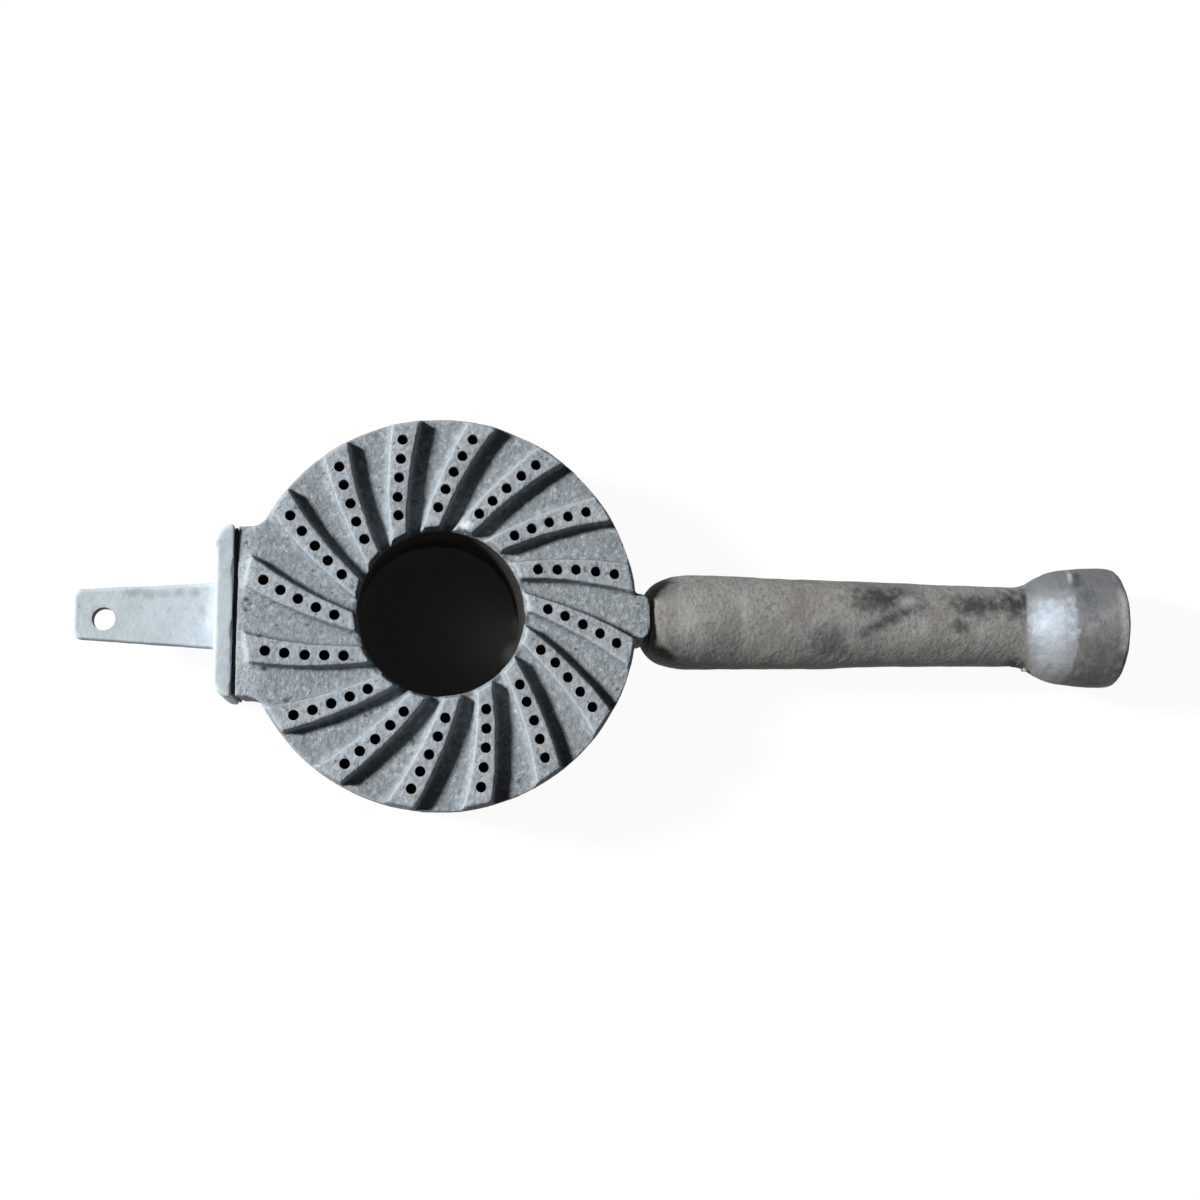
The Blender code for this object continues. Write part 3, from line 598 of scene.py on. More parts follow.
def tail_screw_tree():
    """Slotted countersunk screws along X at the corners of a rectangle, each slot at its own turn."""
    tree, given, result = new_tree("tail_screw_set", [
        ("Face", "Float", FLANGE_IN - FLANGE_T + TAIL_SINK),
        ("Spread", "Float", 2 * TAIL_SCREW_Y),
        ("Rise", "Float", TAIL_SCREW_Z[1] - TAIL_SCREW_Z[0]),
        ("Middle height", "Float", (TAIL_SCREW_Z[0] + TAIL_SCREW_Z[1]) / 2),
        ("Head radius", "Float", TAIL_HEAD_R),
        ("Shank radius", "Float", TAIL_SCREW_R),
        ("Length", "Float", TAIL_SCREW_L - TAIL_SINK),
        ("Slot width", "Float", 1.2 * MM),
        ("Slot depth", "Float", 0.9 * MM),
        ("Seed", "Int", 7),
        ("Material", "Material", None),
    ])
    wide, narrow = given["Head radius"], given["Shank radius"]
    depth = add(tree, "ShaderNodeMath", {0: wide, 1: narrow}, operation="SUBTRACT")
    head = add(tree, "GeometryNodeMeshCone", {
        "Vertices": 48, "Radius Top": wide, "Radius Bottom": narrow, "Depth": depth})
    slot_high = add(tree, "ShaderNodeMath", {0: given["Slot depth"], 1: 2.0}, operation="MULTIPLY")
    slot_long = add(tree, "ShaderNodeMath", {0: wide, 1: 4.0}, operation="MULTIPLY")
    size = add(tree, "ShaderNodeCombineXYZ", {"X": slot_long, "Y": given["Slot width"], "Z": slot_high})
    slot = add(tree, "GeometryNodeMeshCube", {"Size": size})
    up = add(tree, "ShaderNodeCombineXYZ", {"Z": depth})
    raised_slot = add(tree, "GeometryNodeTransform", {"Geometry": slot, "Translation": up})
    slotted = add(tree, "GeometryNodeMeshBoolean", {
        "Mesh 1": head, "Mesh 2": raised_slot}, operation="DIFFERENCE")
    shank = add(tree, "GeometryNodeMeshCylinder", {
        "Vertices": 40, "Radius": narrow, "Depth": given["Length"]})
    half = add(tree, "ShaderNodeMath", {0: given["Length"], 1: -0.5}, operation="MULTIPLY")
    low = add(tree, "ShaderNodeMath", {0: half, 1: depth}, operation="ADD")
    below = add(tree, "ShaderNodeMath", {0: low, 1: given["Slot depth"]}, operation="SUBTRACT")
    down = add(tree, "ShaderNodeCombineXYZ", {"Z": below})
    lowered = add(tree, "GeometryNodeTransform", {"Geometry": shank, "Translation": down})
    screw = add(tree, "GeometryNodeJoinGeometry")
    for piece in (lowered, slotted):
        tree.links.new(piece.outputs[0], screw.inputs[0])
    sunk = add(tree, "ShaderNodeMath", {0: depth, 1: -1.0}, operation="MULTIPLY")
    drop = add(tree, "ShaderNodeCombineXYZ", {"Z": sunk})
    levelled = add(tree, "GeometryNodeTransform", {"Geometry": screw, "Translation": drop})
    laid = add(tree, "GeometryNodeTransform", {"Geometry": levelled, "Rotation": (0, -math.pi / 2, 0)})
    grid = add(tree, "GeometryNodeMeshGrid", {
        "Size X": given["Spread"], "Size Y": given["Rise"], "Vertices X": 2, "Vertices Y": 2})
    place = add(tree, "ShaderNodeCombineXYZ", {"X": given["Face"], "Z": given["Middle height"]})
    corners = add(tree, "GeometryNodeTransform", {
        "Geometry": grid, "Rotation": (math.pi / 2, 0, math.pi / 2), "Translation": place})
    chance = add(tree, "FunctionNodeRandomValue", {
        0: (0, 0, 0), 1: (math.pi, 0, 0), "Seed": given["Seed"]}, data_type="FLOAT_VECTOR")
    spin = add(tree, "FunctionNodeEulerToRotation", {"Euler": chance})
    placed = add(tree, "GeometryNodeInstanceOnPoints", {
        "Points": corners, "Instance": laid, "Rotation": spin})
    return end_tree(tree, given, placed, result)


def outline(inset=0.0):
    """The ring with its neck: the ring's arc, two hollow fillets and the neck's square end."""
    radius = RING_R - inset
    half = NECK_HALF - inset
    fillet = NECK_FILLET + inset
    centre_y = half + fillet
    centre_x = -math.sqrt((radius + fillet) ** 2 - centre_y ** 2)
    turn = math.degrees(math.atan2(centre_y, -centre_x))
    points = arc((0, 0), radius, -180 + turn, 180 - turn, 200)
    points += arc((centre_x, centre_y), fillet, -turn, -90, 12)[1:]
    points += [(NECK_END, half), (NECK_END, -half)]
    points += arc((centre_x, -centre_y), fillet, 90, turn, 12)[:-1]
    return points


def nose_outline():
    """The tongue over the mixing tube: square at its root, with round corners at its tip."""
    reach = NOSE_REACH - NOSE_CORNER
    half = NOSE_HALF - NOSE_CORNER
    root = RING_R - 12 * MM
    points = [(root, -NOSE_HALF)]
    points += arc((reach, -half), NOSE_CORNER, -90, 0, 10)
    points += arc((reach, half), NOSE_CORNER, 0, 90, 10)
    points += [(root, NOSE_HALF)]
    return points


def screw_places():
    """The crown screws stand between rows of ports, a quarter turn apart."""
    a = RIB_LEAN + (SCREW_RADIUS - PORT_MID_R) / RIB_ARC
    x = PORT_MID_R + RIB_ARC * (math.sin(a) - math.sin(RIB_LEAN))
    y = RIB_ARC * (math.cos(a) - math.cos(RIB_LEAN))
    between = RIB_PHASE + math.atan2(y, x) + math.pi / RIB_COUNT
    turns = [Matrix.Rotation(between + i * math.pi / 2, 4, "Z") for i in range(4)]
    return [turn @ Vector((SCREW_RADIUS, 0, 0)) for turn in turns]


def at_screws(name, radius, low, high):
    return [rod(name, radius, low, high, at=spot[:2]) for spot in screw_places()]


def at_tail(name, radius, low, high):
    return [rod(name, radius, low, high, at=spot, axis="X") for spot in TAIL_SPOTS]


def make_crown(iron):
    edge = 0.35 * MM
    plate = loft("plate", [raised(outline(), PLATE_LOW), raised(outline(), FLOOR_Z)])
    cut(plate, rod("hole", HOLE_R, PLATE_LOW - PAST, FLOOR_Z + PAST, steps=180), solver="EXACT")
    nose = loft("nose", [raised(nose_outline(), PLATE_LOW), raised(nose_outline(), FLOOR_Z)])
    ribs = grow("ribs", rib_tree(), material=iron)
    bm = bmesh.new()
    bm.from_mesh(ribs.data)
    mend(bm)
    bm.to_mesh(ribs.data)
    bm.free()
    blank = turned("blank", [
        (HOLE_R + edge + RIB_SLOPE, CROWN_TOP),
        (RING_R - edge - RIB_SLOPE, CROWN_TOP),
        (RING_R - edge, FLOOR_Z + 0.8 * MM),
        (RING_R - edge, FLOOR_Z - 1.5 * MM),
        (HOLE_R + edge, FLOOR_Z - 1.5 * MM),
        (HOLE_R + edge, FLOOR_Z + 1.2 * MM),
    ])
    cut(ribs, blank, operation="INTERSECT", solver="EXACT")
    crown = join("crown_casting", plate, nose, ribs, *at_screws("boss", BOSS_R, BOSS_Z, PLATE_LOW + LAP))
    skin_over(crown, *CROWN_SKIN)
    drills = grow("drills", port_tree(), material=iron)
    places = [vert.co.copy() for vert in drills.data.vertices]
    each = 2 * DRILL_SIDES
    axes = [sum(places[i:i + each], Vector()) / each for i in range(0, len(places), each)]
    cut(crown, drills)
    cut(crown, *at_screws("tapped", SCREW_R + GAP, BOSS_Z - PAST, PLATE_LOW + 2 * MM))
    note_port_shade(crown, axes)
    finish(crown, "crown_casting", ["crown"], iron)


def make_pan(iron):
    pan = loft("pan", [
        raised(outline(3.0 * MM), 0),
        raised(outline(1.4 * MM), 1.2 * MM),
        raised(outline(1.0 * MM), 4.0 * MM),
        raised(outline(), PAN_TOP),
    ])
    socket = loft("socket", [
        oval(RING_R - 8 * MM, SOCKET_HALF, SPIGOT_Z, OVAL_POWER),
        oval(SOCKET_END, SOCKET_HALF, SPIGOT_Z, OVAL_POWER),
    ])
    pad = rod("pad", PAD_R, *PAD_Z, at=(GRUB_X, 0))
    inner = HOLE_R + WALL
    outer = RING_R - WALL
    trough = turned("trough", [
        (outer, PAN_TOP + PAST),
        (outer - 1.0 * MM, PAN_FLOOR + 4 * MM),
        (outer - 2.2 * MM, PAN_FLOOR + 1.2 * MM),
        (outer - 5.0 * MM, PAN_FLOOR),
        (inner + 5.0 * MM, PAN_FLOOR),
        (inner + 1.6 * MM, PAN_FLOOR + 1.2 * MM),
        (inner + 0.8 * MM, PAN_FLOOR + 4 * MM),
        (inner, PAN_TOP + PAST),
    ])
    half = NECK_HALF - WALL
    duct = box("duct", (NECK_END - PAST, -half, PAN_FLOOR + 2 * MM), (DUCT_END, half, PAN_TOP + PAST))
    hole = rod("hole", HOLE_FOOT_R, -LAP, PAN_TOP + LAP, steps=180, top_radius=HOLE_R)
    cut(pan, hole, trough, duct, solver="EXACT")
    bosses = at_tail("tail_boss", TAIL_BOSS_R, NECK_END, NECK_END + TAIL_BOSS_L)
    pillars = at_screws("pillar", PILLAR_R, PAN_FLOOR - LAP, BOSS_Z - GAP)
    pan = join("pan", pan, socket, pad, *bosses, *pillars)
    skin_over(pan, *PAN_SKIN)
    bore = loft("bore", [
        oval(SPIGOT_START - 6 * MM, grown(SPIGOT_HALF, GAP), SPIGOT_Z, OVAL_POWER),
        oval(SOCKET_END + PAST, grown(SPIGOT_HALF, GAP), SPIGOT_Z, OVAL_POWER),
    ])
    tools = [bore, rod("grub_hole", SCREW_R, 0, 14 * MM, at=(GRUB_X, 0))]
    tools += at_screws("pocket", POCKET_R, -LAP, POCKET_Z)
    tools += at_screws("screw_hole", SCREW_R + GAP, -LAP, PAN_TOP)
    tools += at_tail("tail_hole", TAIL_SCREW_R + GAP, NECK_END - PAST, NECK_END + TAIL_HOLE_L)
    cut(pan, *tools)
    finish(pan, "pan_casting", ["pan"], iron)


def tube_radius(x):
    """Outer radius of the round part of the tube, which tapers towards the bell."""
    return blend(TUBE_R, TUBE_END_R, (x - SHOULDER_END) / (TUBE_END - SHOULDER_END))


def make_tube(iron):
    steps = 160
    end = TUBE_END + TIGHTER
    sections = [
        oval(SPIGOT_START, grown(SPIGOT_HALF, -0.5 * MM), SPIGOT_Z, OVAL_POWER, steps),
        oval(SPIGOT_START + 1 * MM, SPIGOT_HALF, SPIGOT_Z, OVAL_POWER, steps),
        oval(TUBE_START, SPIGOT_HALF, SPIGOT_Z, OVAL_POWER, steps),
    ]
    count = 24
    for i in range(count + 1):
        a = math.radians(90 * i / count)
        x = SHOULDER_END - (SHOULDER_END - TUBE_START) * math.cos(a)
        half = [blend(size, TUBE_R, math.sin(a)) for size in SHOULDER_HALF]
        sections.append(oval(x, half, TUBE_Z, blend(OVAL_POWER, 2, i / count), steps))
    count = 130
    for i in range(1, count + 1):
        x = blend(SHOULDER_END, end + FACING, i / count)
        sections.append(circle(x, tube_radius(x), steps))
    sections += [circle(x, BELL_SPIGOT_R, steps) for x in (end + FACING, BELL_SPIGOT)]
    tube = loft("tube", sections)
    count = 24
    passage = [oval(SPIGOT_START - LAP, PASSAGE_HALF, SPIGOT_Z, OVAL_POWER)]
    for i in range(count + 1):
        t = i / count
        ease = t * t * (3 - 2 * t)
        half = [blend(size, WIDE_R, ease) for size in PASSAGE_HALF]
        x = blend(TUBE_START, WIDE_X, t)
        passage.append(oval(x, half, blend(SPIGOT_Z, TUBE_Z, ease), blend(OVAL_POWER, 2, t)))
    passage += [
        circle(THROAT_X, THROAT_R),
        circle(TUBE_END, THROAT_R),
        circle(BELL_SPIGOT, THROAT_R + 1.5 * MM),
        circle(BELL_SPIGOT + LAP, THROAT_R + 1.7 * MM),
    ]
    cut(tube, loft("passage", passage))
    skin_over(tube, *TUBE_SKIN)
    cut(tube, turned("facing", [
        (FACING_R, end),
        (FACING_R, BELL_SPIGOT + PAST),
        (BELL_SPIGOT_R, BELL_SPIGOT + PAST),
        (BELL_SPIGOT_R, end),
    ], axis="X", at=(0, 0, TUBE_Z)))
    finish(tube, "tube_casting", ["mixing_tube"], iron)


def make_bell(iron):
    start = BELL_START
    mouth = MOUTH_X
    flare = [
        (mouth, BELL_R - 1.3 * MM),
        (mouth - 0.7 * MM, BELL_R - 0.6 * MM),
        (mouth - 2.2 * MM, BELL_R - 0.2 * MM),
        (mouth - 6.0 * MM, BELL_R),
        (start + 26.3 * MM, 23.8 * MM),
        (start + 18.0 * MM, 22.9 * MM),
        (start + 14.0 * MM, 21.9 * MM),
        (start + 9.8 * MM, 20.1 * MM),
        (start + 5.6 * MM, 17.6 * MM),
        (start + 2.6 * MM, 16.5 * MM),
        (start, 16.1 * MM),
        (start - FACING, 16.0 * MM),
        (start - FACING, BELL_SPIGOT_R + GAP),
        (BELL_SPIGOT + GAP, BELL_SPIGOT_R + GAP),
        (BELL_SPIGOT + GAP, THROAT_R + 1.6 * MM),
        (BELL_SPIGOT + 3.3 * MM, THROAT_R + 4.0 * MM),
        (BELL_SPIGOT + 7.0 * MM, THROAT_R + 8.4 * MM),
        (BELL_SPIGOT + 11.0 * MM, MOUTH_R - 1.4 * MM),
        (BELL_SPIGOT + 15.0 * MM, MOUTH_R - 0.6 * MM),
        (mouth - 1.0 * MM, MOUTH_R - 0.2 * MM),
        (mouth, MOUTH_R + 0.2 * MM),
    ]
    bell = turned("bell", [(r, x) for x, r in flare], axis="X", at=(0, 0, TUBE_Z))
    skin_over(bell, *BELL_SKIN)
    cut(bell, rod("facing", FACING_R, start - 3 * FACING, start, (0, TUBE_Z), "X"))
    cut(bell, rod("grub_hole", BELL_GRUB_R, -25 * MM, LAP - BELL_SPIGOT_R, (BELL_GRUB_X, TUBE_Z), "Y"))
    finish(bell, "bell_casting", ["bell_mouth"], iron)


def plate_section(inset, z):
    """The flange's outline at one height: square inside, round at its two outer corners."""
    left = FLANGE_IN - FLANGE_T + inset
    half = FLANGE_HALF - inset
    corner = FLANGE_ROUND
    chamfer = 1.4 * inset
    points = [(FLANGE_IN - 0.15 * chamfer, -half), (FLANGE_IN - (chamfer if z > TUBE_Z else 0), half)]
    points += arc((left + corner, half - corner), corner, 90, 180, 14)
    points += arc((left + corner, -half + corner), corner, 180, 270, 14)
    return [(x, y, z + (FLANGE_ROLL * y if z > TUBE_Z else 0)) for x, y in points]


def lug_section(inset, z):
    """The lug's outline: hollow fillets at its root and round corners at its tip."""
    outer = FLANGE_IN - FLANGE_T
    fillet = 2.5 * MM
    corner = 3.2 * MM
    tip = TIP_X + inset
    root = LUG_ROOT_HALF - inset
    end = LUG_TIP_HALF - inset
    points = [(outer + 2 * MM, root + fillet)] + arc((outer - fillet, root + fillet), fillet, 0, -90, 8)
    points += arc((tip + corner, end - corner), corner, 90, 180, 10)
    points += [(x, -y) for x, y in reversed(points)]
    return raised(points, z)


def make_flange(iron):
    edge = 0.9 * MM
    plate = loft("plate", [
        plate_section(edge, FLANGE_LOW),
        plate_section(0, FLANGE_LOW + edge),
        plate_section(0, FLANGE_TOP - edge),
        plate_section(edge, FLANGE_TOP),
    ])
    low = TUBE_Z - LUG_T / 2
    high = TUBE_Z + LUG_T / 2
    soft = 0.7 * MM
    bar = loft("bar", [
        lug_section(soft, low),
        lug_section(0, low + soft),
        lug_section(0, high - soft),
        lug_section(soft, high),
    ])
    flange = join("flange", plate, bar)
    skin_over(flange, *FLANGE_SKIN)
    outer = FLANGE_IN - FLANGE_T
    tools = [rod("lug_hole", LUG_HOLE_R, low - PAST, high + PAST, at=LUG_HOLE)]
    back = FLANGE_IN + 2 * LAP
    front = outer - 2 * LAP
    sink = [
        (TAIL_SCREW_R + GAP, back),
        (TAIL_SCREW_R + GAP, outer + TAIL_SINK + TAIL_HEAD_R - TAIL_SCREW_R),
        (TAIL_HEAD_R + GAP, outer + TAIL_SINK),
        (TAIL_HEAD_R + GAP, front),
        (0, front),
        (0, back),
    ]
    tools += [turned("sink", sink, 40, "X", (0, *spot)) for spot in TAIL_SPOTS]
    cut(flange, *tools)
    finish(flange, "flange_casting", ["tail_flange"], iron)


def make_tail_screws(steel):
    screws = grow("tail_screws", tail_screw_tree(), material=steel)
    finish(screws, "tail_screws", [f"tail_screw_{i}" for i in range(1, 5)], steel, sharp=25)


def new_material(name, rough, metal, specular):
    mat = bpy.data.materials.new(name)
    mat.use_nodes = True
    tree = mat.node_tree
    shader = tree.nodes["Principled BSDF"]
    shader.inputs["Roughness"].default_value = rough
    shader.inputs["Metallic"].default_value = metal
    shader.inputs["Specular IOR Level"].default_value = specular
    place = add(tree, "ShaderNodeTexCoord").outputs["Object"]
    return mat, tree, shader, place


def lay_over(tree, colour, code, value, low, high, amount=1.0):
    """Lay a hex code or a socket over a colour: not at all where value is at low, by amount at high."""
    share = add(tree, "ShaderNodeMapRange", {
        "Value": value, "From Min": low, "From Max": high, "To Max": amount})
    over = linear(code) if isinstance(code, str) else code
    both = add(tree, "ShaderNodeMix", {0: share, 6: colour, 7: over}, data_type="RGBA")
    return both.outputs[2]


def layered(tree, place, colour, layers):
    """Colour over colour: each layer shows where its own noise is high, up to its amount."""
    for size, detail, low, high, code, amount in layers:
        spots = add(tree, "ShaderNodeTexNoise", {
            "Vector": place, "Scale": 1 / (size * MM), "Detail": detail, "Roughness": 0.6})
        colour = lay_over(tree, colour, code, spots, low, high, amount)
    return colour


def marked(tree, place, colour, marks):
    """Ragged oval marks, each with its centre from the ring's axis, half length, half width and turn."""
    torn = add(tree, "ShaderNodeTexNoise", {"Vector": place, "Scale": 1 / (3 * MM), "Detail": 3.0})
    for centre, length, width, turn, code, amount in marks:
        at = Vector(centre) * MM + Vector((RING_X, 0, 0))
        spot = add(tree, "ShaderNodeMapping", {
            "Vector": place, "Location": at, "Rotation": (0, 0, math.radians(turn)),
            "Scale": (length * MM, width * MM, MARK_DEPTH)}, vector_type="TEXTURE")
        away = add(tree, "ShaderNodeVectorMath", {0: spot}, operation="LENGTH").outputs["Value"]
        edge = add(tree, "ShaderNodeMath", {0: torn, 1: MARK_TEAR, 2: away}, operation="MULTIPLY_ADD")
        colour = lay_over(tree, colour, code, edge, *MARK_EDGE, amount)
    return colour


def shaded_hole_wall(tree, place, colour, centre, radius, top, code):
    """Painted shade on the wall of an upright hole, below its upper edge."""
    flat = add(tree, "ShaderNodeVectorMath", {0: place, 1: (1, 1, 0)}, operation="MULTIPLY")
    middle = (RING_X + centre[0], centre[1], 0)
    away = add(tree, "ShaderNodeVectorMath", {0: flat, 1: middle}, operation="DISTANCE").outputs["Value"]
    height = add(tree, "ShaderNodeSeparateXYZ", {0: place}).outputs["Z"]
    inward = add(tree, "ShaderNodeMath", {0: radius + HOLE_SHADE_DEPTH, 1: away}, operation="SUBTRACT")
    below = add(tree, "ShaderNodeMath", {0: top, 1: height}, operation="SUBTRACT")
    both = add(tree, "ShaderNodeMath", {0: inward, 1: below}, operation="MINIMUM")
    return lay_over(tree, colour, code, both, 0.0, 1.0 * MM, 0.95)


def worn_edges_shaded_hollows(tree, colour, pale, dark, depth=0.5):
    """Rubbed edges are paler, and hollows are darkened with painted shade."""
    proudness = add(tree, "ShaderNodeAttribute", attribute_name="proudness").outputs["Fac"]
    colour = lay_over(tree, colour, pale, proudness, *PROUD, 0.6)
    return lay_over(tree, colour, dark, proudness, *SHADED_HOLLOW, depth)


def dress(tree, place, shader, colour, layers):
    """Give a shader its colour and its raised grain: layers of noise, by size and height in millimetres."""
    tree.links.new(colour, shader.inputs["Base Color"])
    normal = None
    for size, height in layers:
        grain = add(tree, "ShaderNodeTexNoise", {"Vector": place, "Scale": 1 / (size * MM), "Detail": 3.0})
        inputs = {"Distance": height * MM, "Height": grain}
        if normal:
            inputs["Normal"] = normal
        normal = add(tree, "ShaderNodeBump", inputs)
    tree.links.new(normal.outputs[0], shader.inputs["Normal"])


def crown_iron():
    """Sand-cast grey iron: a bluish grey skin, grainy like fine sand, paler on its tops and its neck and
    darker towards the tube, largely as painted light.
    """
    mat, tree, shader, place = new_material("crown_sand_cast_iron", 0.75, 0.0, 0.1)
    part = add(tree, "ShaderNodeSeparateXYZ", {0: place}).outputs
    # Paler towards the rib tops: painted light on the tops, with some wear.
    colour = lay_over(tree, linear("#8d959b"), "#a9b1b8", part["Z"], FLOOR_Z + 3 * MM, CROWN_TOP - 0.3 * MM)
    # Paler on the neck and darker towards the tube: painted light falling off across the ring, with a
    # neutral heat tint near the tube.
    colour = lay_over(tree, colour, "#b0b9c0", part["X"], RING_X - 66 * MM, RING_X - 73 * MM, 0.9)
    colour = lay_over(tree, colour, "#858583", part["X"], RING_X - 30 * MM, RING_X + 80 * MM, 0.4)
    colour = layered(tree, place, colour, [
        (16, 3, 0.45, 0.65, "#848c92", 0.5),
        (2.8, 4, 0.50, 0.64, "#c0c8ce", 0.5),
        (1.9, 3, 0.50, 0.66, "#6c7479", 0.55),
        (1.1, 2, 0.62, 0.72, "#dfe5ea", 0.4),
        (3.4, 2, 0.66, 0.72, "#33393d", 0.6),
    ])
    colour = worn_edges_shaded_hollows(tree, colour, "#a3abb2", "#6b7277", 0.3)
    colour = marked(tree, place, colour, [
        ((-73, 4.1, 46), 1.4, 1.1, 0, "#2d3236", 0.9),
        ((-73, 0.3, 46), 1.2, 1.1, 0, "#2d3236", 0.9),
        ((-67.6, -9.7, 46), 1.3, 1, 30, "#2d3236", 0.9),
        ((-65.5, -21.6, 46), 1.5, 1.1, 10, "#2d3236", 0.9),
        ((-57.2, -33.7, 46), 1.3, 1.2, 0, "#2d3236", 0.9),
        # The pale spot on a rib top here is a painted highlight.
        ((8.8, 33.2, 49), 2.4, 1.7, 20, "#eef3f6", 0.9),
    ])
    # The wall of the ring's hole is darkened with painted shade.
    colour = shaded_hole_wall(tree, place, colour, (0, 0), HOLE_FOOT_R, FLOOR_Z + 0.5 * MM, "#1f1c1a")
    # The port walls are darkened with painted shade, strongest at their lower ends.
    port_shade = add(tree, "ShaderNodeAttribute", attribute_name="port_shade").outputs["Fac"]
    colour = lay_over(tree, colour, "#1f1c1a", port_shade, 0.1, 0.6, 0.95)
    dress(tree, place, shader, colour, [(1.8, 0.45), (0.7, 0.2)])
    return mat


def pan_iron():
    """Sand-cast grey iron that has seen heat: a dull brown-grey with dark smudges along the tube's top."""
    mat, tree, shader, place = new_material("tube_sand_cast_iron", 0.7, 0.0, 0.15)
    colour = layered(tree, place, linear("#8e8c88"), [
        (22, 3, 0.42, 0.62, "#767370", 0.7),
        (7, 4, 0.50, 0.66, "#9f9d99", 0.6),
        (1.6, 3, 0.52, 0.68, "#625f5c", 0.6),
        (30, 5, 0.62, 0.72, "#55595b", 0.6),
    ])
    colour = worn_edges_shaded_hollows(tree, colour, "#a3a3a0", "#4c4a46")
    colour = marked(tree, place, colour, [
        ((174, 8.5, 38), 17, 6.5, 0, "#2b3035", 0.9),
        ((211, 6.5, 39), 13.5, 5, 0, "#2b3035", 0.85),
        ((203.8, -1.8, 41), 4, 3.2, 0, "#33383d", 0.7),
        ((226.8, 8.2, 39), 7.5, 7, 0, "#262c30", 0.9),
        ((151, -9, 40), 8, 6.5, 0, "#43474a", 0.65),
        ((174.5, -0.3, 41), 16, 2.6, 26.5, "#383d41", 0.85),
        ((183.5, 7.8, 40), 5, 2.8, 10, "#9c9a97", 0.9),
        ((117.7, 1, 43), 2, 20, 0, "#aaa8a5", 0.45),
        ((96, 0, 42), 7, 13, 0, "#a9a7a3", 0.55),
        # Painted shade: the dark spot on the tube's lower flank by the bell, where the notch lies in shade.
        ((229, -15.4, 28), 4.2, 2.8, 0, "#1c1b1a", 0.9),
        # The two dark spots on the shoulder's flanks are the ring's painted shadow.
        ((84, 13, 38), 6.5, 5.5, 0, "#2c2b2a", 0.85),
        ((86, -14.5, 36), 9, 7, 0, "#2c2b2a", 0.85),
    ])
    # The wall of the ring's hole is darkened with painted shade.
    colour = shaded_hole_wall(tree, place, colour, (0, 0), HOLE_FOOT_R, FLOOR_Z, "#1f1c1a")
    dress(tree, place, shader, colour, [(1.8, 0.35), (0.7, 0.15)])
    return mat


def bell_iron():
    """Grey iron, dull on its rim, which is paler by painted light and some wear, and pale on its flare's
    crest from rubbing with a painted sheen.
    """
    mat, tree, shader, place = new_material("bell_rubbed_iron", 0.68, 0.0, 0.15)
    colour = layered(tree, place, linear("#828485"), [
        (14, 3, 0.45, 0.62, "#666665", 0.7),
        (3, 4, 0.50, 0.66, "#858686", 0.6),
        (1.5, 3, 0.54, 0.68, "#595a5a", 0.5),
    ])
    part = add(tree, "ShaderNodeSeparateXYZ", {0: place}).outputs
    mouth = RING_X + MOUTH_X
    # Paler towards the mouth: painted light on a rim that the lamp leaves in shade, with some wear.
    colour = lay_over(tree, colour, "#c4c6c8", part["X"], mouth - 6 * MM, mouth - 0.5 * MM, 0.9)
    colour = worn_edges_shaded_hollows(tree, colour, "#8f9090", "#4c4a46", 0.3)
    colour = marked(tree, place, colour, [
        ((254.2, 9.5, 46), 4.2, 9, 0, "#4d545b", 0.75),
        ((262, -13, 42), 14, 9, 0, "#5f5d5b", 0.8),
        ((258, -20, 34), 10, 7, 0, "#5c5853", 0.8),
    ])
    torn = add(tree, "ShaderNodeTexNoise", {"Vector": place, "Scale": 1 / (6 * MM), "Detail": 3.0})
    ragged = add(tree, "ShaderNodeMath", {0: torn, 1: 7 * MM, 2: part["X"]}, operation="MULTIPLY_ADD")
    crest = RING_X + BELL_START + 21.8 * MM
    fade = 1.2 * MM
    colour = lay_over(tree, colour, "#838587", ragged, crest + fade, crest)
    colour = lay_over(tree, colour, "#63666a", part["Y"], 9 * MM, 15 * MM, 0.8)
    # The pale band on the flare's crest is iron pale from rubbing, with a painted sheen brightest on the
    # crest.
    rubbed_and_sheen = marked(tree, place, colour, [
        ((241.5, -8, 42), 13, 12, 0, "#9aa0a5", 0.75),
        ((240.5, 1, 43), 13, 8.8, 0, "#a6b1bb", 1),
        ((236.2, -0.5, 42), 3.8, 4.2, 0, "#bcc8d2", 0.8),
    ])
    colour = lay_over(tree, colour, rubbed_and_sheen, ragged, crest + fade, crest)
    lean = 0.36
    slant = add(tree, "ShaderNodeMath", {0: part["Z"], 1: lean, 2: part["X"]}, operation="MULTIPLY_ADD")
    skin = RING_X + BELL_START + lean * (TUBE_Z + 16 * MM)
    brown = marked(tree, place, linear("#84827e"), [((230.5, 9.0, 39), 8.0, 8.0, 0, "#262c30", 0.95)])
    colour = lay_over(tree, colour, brown, slant, skin + 0.9 * MM, skin, 0.95)
    colour = marked(tree, place, colour, [
        ((250.7, 19.1, 37), 1.1, 3.6, -23, "#bebcb9", 0.7),
        ((252.9, 17.8, 39), 1.8, 4.6, -23, "#3c4145", 0.8),
        # Painted shade: the dark spot at the bell's lower start, beside the notch.
        ((232.5, -16, 27), 2.2, 2.2, 0, "#262422", 0.85),
    ])
    dress(tree, place, shader, colour, [(2.0, 0.3), (0.7, 0.12)])
    return mat


